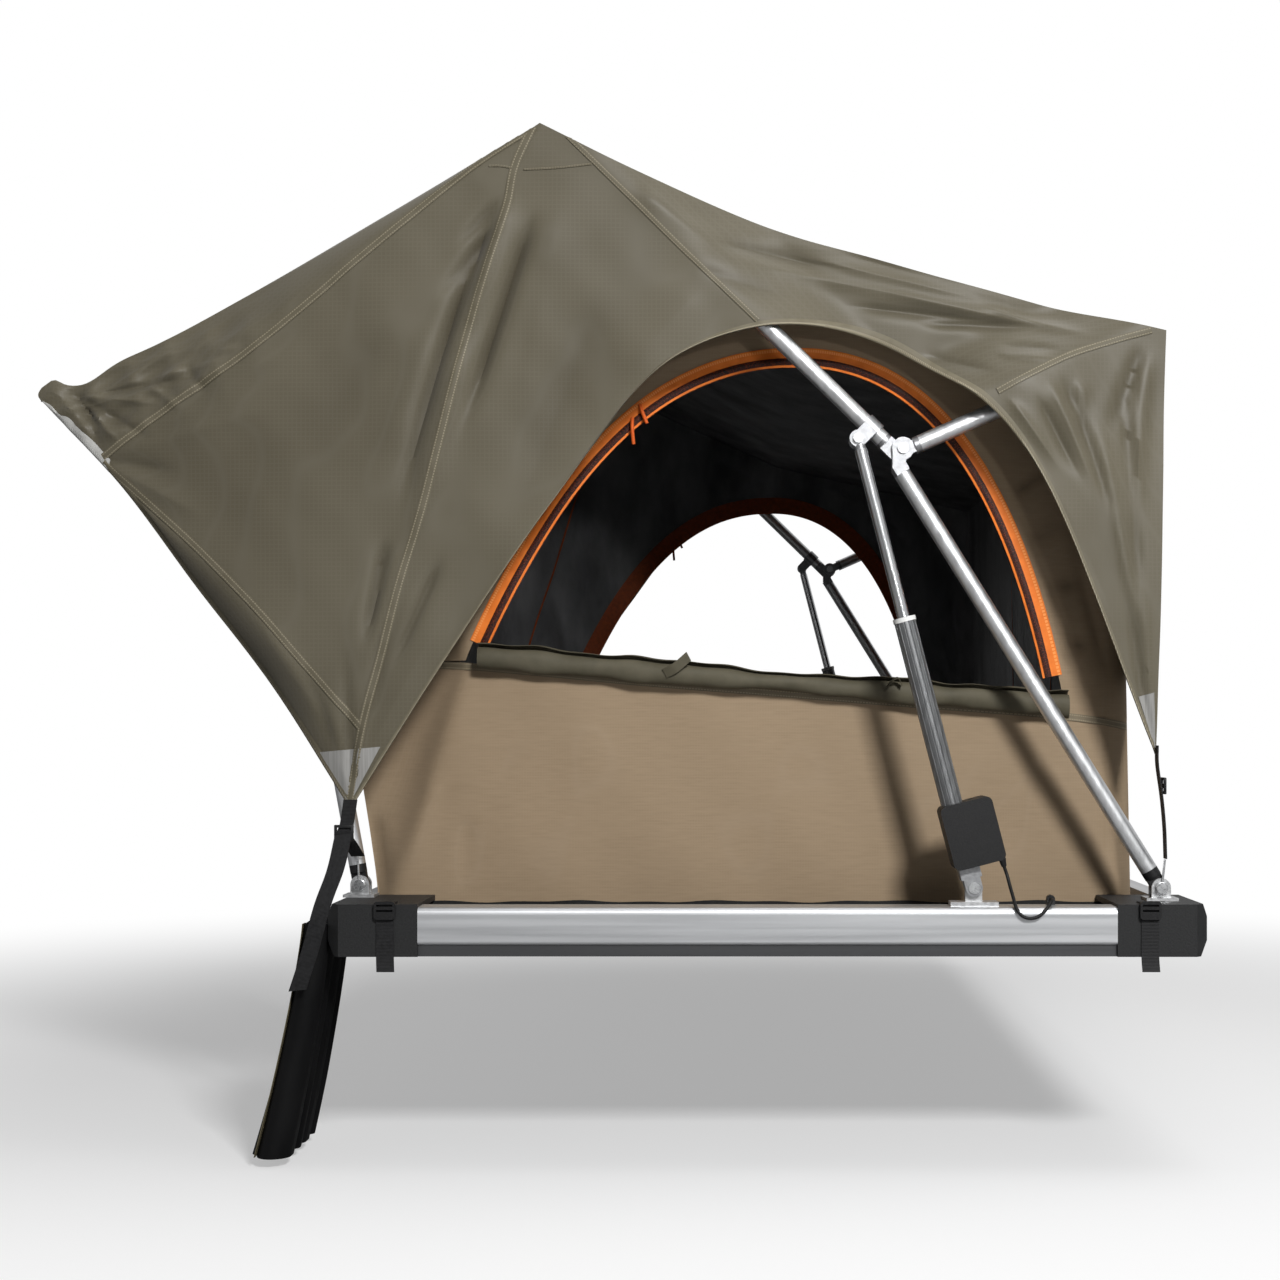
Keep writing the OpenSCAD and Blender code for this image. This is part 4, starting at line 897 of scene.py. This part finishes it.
tent = {
    "outline": [(-578, 41), (-734, 923), (-291, 1138), (58, 981), (542, 868), (558, 41)],
    "wall": -1028,
    "sill": [(-646, 0, 426), (-481, 0, 421), (-324, 0, 408), (-187, 0, 395), (0, 0, 380), (185, 0, 365),
             (438, 0, 345), (552, 0, 328)],
    "windowLeft": [(-432, 416), (-332, 640), (-195, 866), (40, 866)],
    "windowRight": [(40, 866), (240, 874), (368, 680), (430, 340)],
    "door": (180, 800, 420),
    "thick": 2,
    "flatSide": 4.2,
    "fullCreaseShade": 9,
    "narrowFold": 12,
    "corner": 62,
    "crease": {"start": 34, "spread": 0.5, "from": 41, "bend": 92, "to": 412, "most": 60, "steep": 1.4,
               "soft": 5},
    "turnEnds": (880, 680),
    "foldLimits": (-10, 9),
    "ripple": (1.2, 0.03, 0.02),
    "zipLap": 20,
    "folds": [(-490, 250, -538, 95, 12, 6), (-592, 195, -566, 60, 10, -8), (-445, 190, -456, 70, 14, -5),
              (-380, 300, -450, 60, 22, -3), (-250, 330, -330, 60, 45, 4), (60, 300, -60, 70, 60, -4),
              (330, 300, 200, 60, 45, 4), (420, 310, 330, 90, 30, -5), (540, 300, 500, 60, 16, -7),
              (470, 560, 520, 380, 14, -7), (500, 640, 540, 400, 12, 7), (520, 800, 500, 500, 16, 6),
              (-520, 560, -560, 430, 16, 6), (-300, 900, -420, 640, 30, -4), (300, 900, 420, 760, 22, 5),
              (150, 940, 330, 860, 18, -5), (-100, 1000, 60, 920, 20, 4),
              (372, 675, 440, 712, 9, -8), (383, 640, 455, 680, 8, 7), (393, 604, 465, 645, 9, -8),
              (408, 562, 478, 606, 8, 7), (420, 515, 492, 560, 9, -8), (432, 472, 500, 512, 8, 7),
              (440, 430, 512, 470, 9, -8), (446, 395, 520, 425, 8, 6), (300, 860, 380, 800, 9, -7),
              (330, 850, 400, 770, 8, 6)],
}
foot = tent["outline"][0][1]


# the end wall's left and right edge at a height
def edgeAt(z, low, high):
    (x0, z0), (x1, z1) = low, high
    return x0 + (x1 - x0) * (z - z0) / (z1 - z0)


def leftEdge(z):
    return edgeAt(z, *tent["outline"][:2])


def rightEdge(z):
    return edgeAt(z, *tent["outline"][:3:-1])


def bent(four, t):
    a, b, c, d = (np.asarray(p, float) for p in four)
    t = np.asarray(t, float)[:, None]
    return a * (1 - t) ** 3 + 3 * b * t * (1 - t) ** 2 + 3 * c * t * t * (1 - t) + d * t ** 3


# window edge from the left sill over the top to the right sill
def windowEdge(u):
    top = 0.52
    left = bent(tent["windowLeft"], share(u, 0, top))
    right = bent(tent["windowRight"], share(u, top, 1))
    return np.where((u < top)[:, None], left, right)


def windowSide(u):
    step = 0.004
    ahead = windowEdge(np.clip(u + step, 0, 1)) - windowEdge(np.clip(u - step, 0, 1))
    ahead /= np.linalg.norm(ahead, axis=1)[:, None]
    return np.stack([-ahead[:, 1], ahead[:, 0]], 1)


# where a line from the window's middle meets the wall's outline
def outlineFrom(points):
    middle = np.array((0.0, 425.0))
    corners = np.asarray(tent["outline"] + tent["outline"][:1], float)
    found = []
    for p in points:
        ray = p - middle
        best = 1e9
        for a, b in zip(corners[:-1], corners[1:]):
            side, start = b - a, a - middle
            under = ray[0] * side[1] - ray[1] * side[0]
            if abs(under) < 1e-9:
                continue
            k = (start[0] * side[1] - start[1] * side[0]) / under
            m = (start[0] * ray[1] - start[1] * ray[0]) / under
            if k > 0.2 and -1e-6 <= m <= 1 + 1e-6:
                best = min(best, k)
        found.append(middle + ray * best)
    return np.array(found)


# the end walls turn in at their upright corners: round at the eave, along a slanting crease at the entrance
def cornerTurn(x, z):
    close = 1.5
    radius, crease = tent["corner"], tent["crease"]
    inside = radius - np.clip(rightEdge(z) - x - close, 0, radius)
    turned = radius - np.sqrt(radius ** 2 - inside ** 2)
    slant = crease["spread"] * (np.clip(z, crease["from"], crease["to"]) - crease["bend"])
    past = (crease["start"] + slant - (x - leftEdge(z))) / crease["soft"]
    past = crease["soft"] * np.log1p(np.exp(np.clip(past, -30, 60)))
    turned = turned + crease["most"] * (1 - np.exp(-crease["steep"] * past / crease["most"]))
    top, full = tent["turnEnds"]
    return turned * smooth((top - z) / (top - full))


def wallDepth(x, z):
    folds = np.clip(foldAt(x, z, tent["folds"]), *tent["foldLimits"])
    high, rateX, rateZ = tent["ripple"]
    return tent["wall"] - folds + high * np.sin(rateX * x + rateZ * z) + cornerTurn(x, z)


# a point on the end wall, or out from it
def onWall(x, z, out=0):
    return np.stack([x, wallDepth(x, z) - out, z], 1)


def alongFoot(u):
    return leftEdge(foot) + (rightEdge(foot) - leftEdge(foot)) * u


def lowerPlace(u, v):
    sill = through(tent["sill"], u)
    return onWall(alongFoot(u) * (1 - v) + sill[:, 0] * v, foot * (1 - v) + sill[:, 2] * v)


def aroundPlace(u, v):
    inner = windowEdge(u) + windowSide(u) * tent["zipLap"]
    steps = np.linspace(0, 1, 161)
    rim = outlineFrom(windowEdge(steps))
    rim[0], rim[-1] = tent["sill"][0][::2], tent["sill"][-1][::2]
    outer = np.stack([np.interp(u, steps, rim[:, k]) for k in range(2)], 1)
    return onWall(*(inner * (1 - v[:, None]) + outer * v[:, None]).T)


corner = tent["outline"]
leftUp = [foot, 110, 180, 258, 335, 413, 490, 568, 645, 723, 800, 860, 923]
rightDown = [820, 760, 700, 640, 580, 520, 460, 400, 310, 220, 130, foot]
ring = [(leftEdge(z), z) for z in leftUp]
for a, b in zip(corner[1:4], corner[2:5]):
    ring += [(a[0] + (b[0] - a[0]) * k / 5, a[1] + (b[1] - a[1]) * k / 5) for k in range(1, 6)]
ring += [(rightEdge(z), z) for z in rightDown]
ring = np.array(ring, float)
# rows of the shell, as distances from the tent's middle
fromMiddle = [210, 420, 590, 760, 860, 960, -tent["wall"]]
along = np.array([*(-y for y in fromMiddle[::-1]), 0, *fromMiddle], float)
leftSide, rightSide = -560, 530


# side walls and roof, which meet the end walls where those have turned in
def shellPlace(u, v):
    k = np.rint(u * (len(ring) - 1)).astype(int)
    m = np.rint(v * (len(along) - 1)).astype(int)
    x, z = ring[k].T
    atEnd = ((m == 0) | (m == len(along) - 1)) & ((x < leftSide) | (x > rightSide))
    return np.stack([x, along[m] - np.sign(along[m]) * np.where(atEnd, cornerTurn(x, z), 0), z], 1)


shell = grid("tentShell", len(ring) - 1, len(along) - 1, shellPlace)
bpy.ops.object.mode_set(mode="EDIT")
bpy.ops.mesh.select_mode(type="FACE")
bpy.ops.object.mode_set(mode="OBJECT")
low, top, half = tent["door"]
for face in shell.data.polygons:
    c = face.center * 1000
    face.select = c.x < leftSide and low < c.z < top and abs(c.y) < half
bpy.ops.object.mode_set(mode="EDIT")
bpy.ops.mesh.delete(type="FACE")
turnOutward()
roofFace = max(shell.data.polygons, key=lambda f: f.center.z)
if roofFace.normal.z < 0:
    shell.data.flip_normals()
walls = [bothEnds("tentWall", 120, 30, place, 1) for place in (lowerPlace, aroundPlace)]
tentWalls = join("tentWalls", [shell, *walls])
# the end walls' narrow folds get painted crease shade
narrowFolds = [fold for fold in tent["folds"] if fold[4] < tent["narrowFold"]]
markCreaseShade(tentWalls, narrowFolds, tent["fullCreaseShade"], fromMiddle[-2])
tentWalls.data.materials.append(tentCloth)
tentWalls.data.materials.append(liningCloth)
# the lining is the second material, on the inner side
thicken(tentWalls, tent["thick"], -1, material_offset=1, material_offset_rim=0)
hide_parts("tent_walls")
softGoods(tentWalls, None, "tent", 40)

# zip band round each window: orange tape, black coil, orange tape
zips = {
    "wide": 29, "inside": 4, "out": 1.6, "thick": 1.2, "from": 0.022, "to": 0.972,
    "coil": 0.29, "coilWide": 0.18, "coilOut": 1.8, "coilRound": 0.16,
}
zipTape = stitched("zipTape", (0.75, 0.17, 0.02), (0.9, 0.23, 0.034), (0.95, 0.34, 0.09), (0.86,))
tree = zipTape.node_tree
split = ownUv(tree)
coil = add(tree, "Math", {1: zips["coil"], 2: zips["coilWide"]}, operation="COMPARE")
where = add(tree, "TexCoord")
speckle = add(tree, "TexNoise", {"Scale": 700})
teeth = add(tree, "ValToRGB")
gap, tooth = teeth.color_ramp.elements
gap.position, gap.color = 0.45, (0.012, 0.007, 0.006, 1)
tooth.position, tooth.color = 0.75, (0.2, 0.035, 0.01, 1)
wire(tree, (split, "Y", coil, 0), (where, "Object", speckle, "Vector"),
     (speckle, "Fac", teeth, "Fac"), (teeth, "Color", overColour(tree, coil, "Value"), mixB))


# a band along the window's edge, out from the wall
def alongWindow(band, u, v, out):
    u = band["from"] + (band["to"] - band["from"]) * u
    edge = windowEdge(u) + windowSide(u) * (v * band["wide"] - band["inside"])[:, None]
    return onWall(*edge.T, out)


def zipPlace(u, v):
    fromCoil = (v - zips["coil"]) / zips["coilRound"]
    return alongWindow(zips, u, v, zips["out"] + zips["coilOut"] * np.exp(-fromCoil ** 2))


windowZips = bothEnds("windowZips", 260, 14, zipPlace, 1, lengthOf(windowEdge(np.linspace(0, 1, 300))))
thicken(windowZips, zips["thick"], -1)
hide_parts("window_zips")
softGoods(windowZips, zipTape, "tent")

# pull cords on the two sliders
pullCord = surface("pullCord", (0.56, 0.09, 0.012), (0.74, 0.13, 0.02), 300, depth=0.0008)
pulls = {
    "upper": [(-188, -1033, 806), (-184, -1038, 794), (-177, -1038, 777)],
    "lower": [(-199, -1033, 786), (-199, -1039, 770), (-197, -1038, 746)],
}
pullRadius = 2.8
cords = [tube("zipPull", [(x, y * way, z) for x, y, z in path], pullRadius, 8)
         for path in pulls.values() for way in (1, -1)]
zipPulls = softGoods(join("zipPulls", cords), pullCord, "tent")

# sill tape sewn along the foot of the window
sillTape = stitched("sillTape", (0.16, 0.13, 0.085), (0.2, 0.165, 0.11), (0.3, 0.25, 0.17), (0.2, 0.8))
sillBand = {"wide": 11, "below": 9, "out": 1.5, "thick": 1, "from": 0.01, "to": 0.995, "length": 1200}


def sillPlace(u, v):
    line = through(tent["sill"], sillBand["from"] + (sillBand["to"] - sillBand["from"]) * u)
    return onWall(line[:, 0], line[:, 2] - sillBand["below"] + v * sillBand["wide"], sillBand["out"])


sill = bothEnds("sillTape", 160, 3, sillPlace, 1, sillBand["length"])
thicken(sill, sillBand["thick"], -1)
softGoods(sill, sillTape, "tent")

# black edging along the foot of the end walls
edgingCloth = surface("edgingCloth", (0.006, 0.006, 0.006), (0.013, 0.013, 0.013), 200, depth=0.0008)
edging = {"up": 1, "wide": 22, "out": 2.5, "thick": 1.2, "waves": ((1.2, 31, 0), (0.8, 73, 1))}


def edgingPlace(u, v):
    wide = edging["wide"] + ripples(u, edging["waves"])
    return onWall(alongFoot(u), foot + edging["up"] + v * wide, edging["out"])


footEdging = bothEnds("footEdging", 160, 4, edgingPlace, 1)
thicken(footEdging, edging["thick"], -1)
softGoods(footEdging, edgingCloth, "tent")

# window flap, rolled loosely and lying on the sill
flapCloth = surface("flapCloth", (0.075, 0.067, 0.044), (0.11, 0.098, 0.067), 30, rough=(0.6, 0.72),
                    depth=0.003)
# waves are height, rate and start; the twist leans over with the turns
flap = {
    "from": -428, "to": 450, "turns": 2.3, "core": 5, "outer": 18, "y": -1046, "overSill": 13, "thick": 0.8,
    "deep": 0.85, "high": 1.05, "highWave": (0.15, 9, 0), "waves": ((0.1, 19, 1), (0.05, 77, 0)),
    "twist": (0.07, 41, 2),
}


def flapPlace(u, v):
    x = flap["from"] + (flap["to"] - flap["from"]) * u
    low = np.interp(x, [p[0] for p in tent["sill"]], [p[2] for p in tent["sill"]])
    turn = v * 2 * math.pi * flap["turns"]
    most, rate, lean = flap["twist"]
    uneven = 1 + ripples(u, flap["waves"]) + most * np.sin(rate * u + lean * turn)
    r = (flap["core"] + (flap["outer"] - flap["core"]) * v) * uneven
    y = flap["y"] + r * np.cos(turn) * flap["deep"]
    z = low + flap["overSill"] + r * np.sin(turn) * (flap["high"] + ripples(u, [flap["highWave"]]))
    return np.stack([x, y, z], 1)


windowFlaps = bothEnds("windowFlaps", 170, 60, flapPlace, 1)
thicken(windowFlaps, flap["thick"])
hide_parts("window_flaps")
softGoods(windowFlaps, flapCloth, "tent")
print("windows have zips, sill tapes and rolled flaps")

# webbing: ribs across its length on the piece's own uv
webbing = surface("webbing", (0.007, 0.007, 0.0075), (0.015, 0.015, 0.016), 200, depth=0.0008)
tree = webbing.node_tree
own = add(tree, "UVMap", uv_map="UVMap")
ribs = add(tree, "TexWave", {"Scale": waveScale(0.002), "Distortion": 0.4}, bands_direction="X")
wire(tree, (own, "UV", ribs, "Vector"), (ribs, "Fac", tree.nodes["relief"], "Height"))


# thickness of straps, and of tabs and piping
webThick, tabThick = 1.5, 1.2


# a strip along points, as wide as the arrow across is long
def webStrip(name, points, across, thick=webThick, count=60):
    line = evenly(points, count + 1)

    def place(u, v):
        return line[np.rint(u * count).astype(int)] + np.outer(v - 0.5, across)

    piece = bothEnds(name, count, 4, place, length=lengthOf(line))
    thicken(piece, thick)
    return piece


# piping on the lining
pipingCloth = surface("pipingCloth", (0.32, 0.07, 0.02), (0.46, 0.1, 0.028), 120, bump=0.2, depth=0.0008)
piping = {
    "end": [(-414, 0, 998), (-485, 0, 763), (-570, 0, 480)],
    "side": [(544, -254, 720), (546, -254, 560), (549, -254, 300)],
    "in": 5,
}
endLine = evenly(piping["end"], 40)
endLine[:, 1] = wallDepth(endLine[:, 0], endLine[:, 2]) + piping["in"]
liningPiping = join("liningPiping", [
    webStrip("endPiping", endLine, (5, 0, 2), tabThick),
    webStrip("sidePiping", piping["side"], (0, 5, 0), tabThick),
])
softGoods(liningPiping, pipingCloth, "tent")

# rust facing round each window on the inside
lapped = {"wide": 40, "inside": 4, "in": 3.5, "from": 0.03, "to": 0.965}


def facingPlace(u, v):
    return alongWindow(lapped, u, v, -lapped["in"])


windowFacing = bothEnds("windowFacing", 200, 4, facingPlace, -1)
thicken(windowFacing, 1)
softGoods(windowFacing, pipingCloth, "tent")

# tab and loop that hold the rolled flap
tab = [(-150, -1060, 404), (-134, -1066, 412), (-114, -1067, 429)]
loop = [(176, -1062, 378), (184, -1068, 391), (195, -1068, 397), (201, -1063, 386)]
flapTabs = join("flapTabs", [
    webStrip("flapTab", tab, (7, 0, -13), tabThick, 20),
    webStrip("flapLoop", loop, (0, 9, 2), tabThick, 24),
])
softGoods(flapTabs, flapCloth, "tent")

# ties of the fly's corners, the tails that hang from them, and straps on the corner caps
straps = {
    "rightTie": [(560.4, -1146, 298), (560.8, -1146, 270), (567, -1146, 224), (572, -1141, 180),
                 (575, -1134.6, 134.5)],
    "leftTie": [(-599, -1143.4, 220), (-604, -1144, 186), (-607, -1148, 172), (-604, -1112, 153),
                (-601, -1074.6, 134.5)],
    "tail": [(-607, -1154.4, 170), (-613, -1182, 122), (-626, -1208, 74), (-643, -1211, 10),
             (-661, -1210, -46)],
    "cap": [(0, -1166, 75.2), (0, -1196, 75.3), (0, -1200.9, 74.2), (0, -1201.4, 66), (0, -1201.4, 4),
            (1, -1204, -21)],
    "capAt": (-539.5, 539.5),
}
tieStraps = join("tieStraps", [
    webStrip("rightTie", straps["rightTie"], (0, 20, 0)),
    webStrip("leftTie", straps["leftTie"], (20, 0, 0)),
])
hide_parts("fly_straps")
softGoods(tieStraps, webbing, "tie")
tails = webStrip("strapTails", straps["tail"], (25, 0, 3))
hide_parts("fly_strap_tails")
softGoods(tails, webbing, "tail")
capStraps = join("capStraps", [
    webStrip("capStrap", [(x + at, y, z) for x, y, z in straps["cap"]], (25, 0, 0)) for at in straps["capAt"]
])
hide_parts("cap_straps")
softGoods(capStraps, webbing, None)

# ladder locks of the corner ties: a plate with two slots either side of a bar
tieLock = {"size": (28, 4, 24), "slot": (20, 12, 5), "slotAt": 5.5, "round": 1.2}


def block(size, place):
    bpy.ops.mesh.primitive_cube_add(size=0.001, location=(0, 0, place / 1000))
    piece = bpy.context.object
    piece.scale = size
    bpy.ops.object.transform_apply(location=True, rotation=True, scale=True)
    return piece


def ladderLock(place, turn):
    lock = block(tieLock["size"], 0)
    apply(lock, "BEVEL", width=tieLock["round"] / 1000, segments=2)
    for height in (tieLock["slotAt"], -tieLock["slotAt"]):
        cutter = block(tieLock["slot"], height)
        apply(lock, "BOOLEAN", operation="DIFFERENCE", object=cutter)
        bpy.data.objects.remove(cutter)
    lock.location = Vector(place) / 1000
    lock.rotation_euler = (0, 0, turn)
    bpy.ops.object.transform_apply(location=True, rotation=True, scale=True)
    return lock


lockPlaces = [((-607, -1151.2, 172), 0), ((569.6, -1146, 240), math.pi / 2)]
tieLocks = join("tieLocks", [ladderLock((x, y * way, z), turn)
                             for (x, y, z), turn in lockPlaces for way in (1, -1)])
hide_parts("fly_strap_buckles")
softGoods(tieLocks, blackNylon, "tie")
print("straps are on")

# travel cover folded in two and hanging from the left rail, khaki tape on its edges
coverCloth = surface("coverCloth", (0.0025, 0.0025, 0.0028), (0.006, 0.006, 0.0063), 24, (1, 1, 0.4),
                     (0.55, 0.7), bump=0.4, depth=0.004)
setShader(coverCloth, "Specular IOR Level", 0.12)
coverTape = stitched("coverTape", (0.11, 0.095, 0.055), (0.15, 0.13, 0.08), (0.22, 0.19, 0.12), (0.3, 0.7))
# waves are height, rate, lean and start, and bend is the fold's first and last share
cover = {
    "top": 45, "foot": -288, "front": -1190, "back": -999, "innerX": -626, "topApart": 31, "footApart": 44,
    "lean": 57, "leanBend": 1.3, "bend": (0.44, 0.56), "thick": 2.4, "flatSide": 0.45, "filled": 0.98,
    "waves": ((7, 46, 1.5, 0), (5, 23, 0, 4)), "topWave": 0.15, "bendWave": 0.3, "mostIn": 2, "mostOut": 20,
}
# tapes on its edges: where each runs, width and reach as shares of the cover, and height off the cloth
edgeTapes = {
    "runs": {"coverTapeFront": 0.56, "coverTapeBack": 0.97},
    "wide": 0.05, "reach": 0.998, "off": 2.6, "thick": 1, "length": 340,
}


# run goes from the inner edge round the front fold to the outer edge
def coverPoint(run, down):
    start, stop = cover["bend"]
    inner, outer = run < start, run > stop
    z = cover["top"] + (cover["foot"] - cover["top"]) * down
    apart = cover["topApart"] + (cover["footApart"] - cover["topApart"]) * down
    middle = cover["innerX"] - apart / 2 - cover["lean"] * down ** cover["leanBend"]
    turn = math.pi * share(run, start, stop)
    depth = cover["front"] + apart / 2
    flat = np.where(inner, run / start, (1 - run) / (1 - stop))
    side = cover["back"] + (depth - cover["back"]) * flat
    y = np.where(inner | outer, side, depth - apart / 2 * np.sin(turn))
    x = middle + apart / 2 * np.cos(turn)
    wave = sum(high * np.sin(rate * run + lean * down + first) for high, rate, lean, first in cover["waves"])
    wave = wave * (cover["topWave"] + (1 - cover["topWave"]) * down)
    wave = np.minimum(wave, np.where(inner, cover["mostIn"], cover["mostOut"]))
    x = x + wave * np.where(inner | outer, 1, cover["bendWave"])
    return np.stack([x, y, z], 1)


coverSheet = grid("travelCover", 140, 60, coverPoint)
thicken(coverSheet, cover["thick"])
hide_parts("travel_cover")
softGoods(coverSheet, coverCloth, None)


def coverEdge(name, run):
    def place(u, v):
        down = u * edgeTapes["reach"]
        point = coverPoint(run + (v - 0.5) * edgeTapes["wide"], down)
        point[:, 0] = coverPoint(np.full_like(u, run), down)[:, 0] - edgeTapes["off"]
        return point

    piece = grid(name, 60, 4, place)
    measureUv(piece, edgeTapes["length"])
    thicken(piece, edgeTapes["thick"])
    return softGoods(piece, coverTape, None)


coverTapes = [coverEdge(name, run) for name, run in edgeTapes["runs"].items()]

# mattress
mattressCloth = surface("mattressCloth", (0.1, 0.1, 0.105), (0.14, 0.14, 0.147), 60, rough=(0.7, 0.8),
                        depth=0.002)
threads(mattressCloth, 0.005, 0.01, 0.05)
bedLow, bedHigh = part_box("mattress")
puff = {"room": 0.005, "round": 0.012, "grid": 0.014, "pressure": 4, "frames": 20, "fill": 0.7}
bpy.ops.mesh.primitive_cube_add(size=1, location=(bedLow + bedHigh) / 2)
mattress = bpy.context.object
mattress.name = "mattressPad"
mattress.scale = bedHigh - bedLow - Vector((1, 1, 1)) * 2 * puff["room"]
bpy.ops.object.transform_apply(location=True, rotation=True, scale=True)
apply(mattress, "BEVEL", width=puff["round"], segments=3)
apply(mattress, "REMESH", mode="VOXEL", voxel_size=puff["grid"])

# foam blown up a little inside its cover, each point held to a few millimetres
start = cornersOf(mattress)
blow = mattress.modifiers.new("Blow", "CLOTH")
blow.settings.use_pressure = True
blow.settings.uniform_pressure_force = puff["pressure"]
blow.settings.effector_weights.gravity = 0
blow.point_cache.frame_start = 1
blow.point_cache.frame_end = puff["frames"]
for frameNumber in range(1, puff["frames"] + 1):
    scene.frame_set(frameNumber)
bpy.ops.object.modifier_apply(modifier="Blow")
scene.frame_set(1)
move = cornersOf(mattress) - start
far = np.linalg.norm(move, axis=1)[:, None] + 1e-9
held = start + move / far * puff["room"] * np.tanh(far / puff["room"])
mattress.data.vertices.foreach_set("co", held.ravel())
mattress.data.update()
print("mattress pushed out by up to", round(1000 * float(far.max()), 1), "mm before it was held")
apply(mattress, "SUBSURF", levels=1, render_levels=1)
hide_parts("mattress")
softGoods(mattress, mattressCloth, None)
print("cover and mattress are in")

low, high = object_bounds()
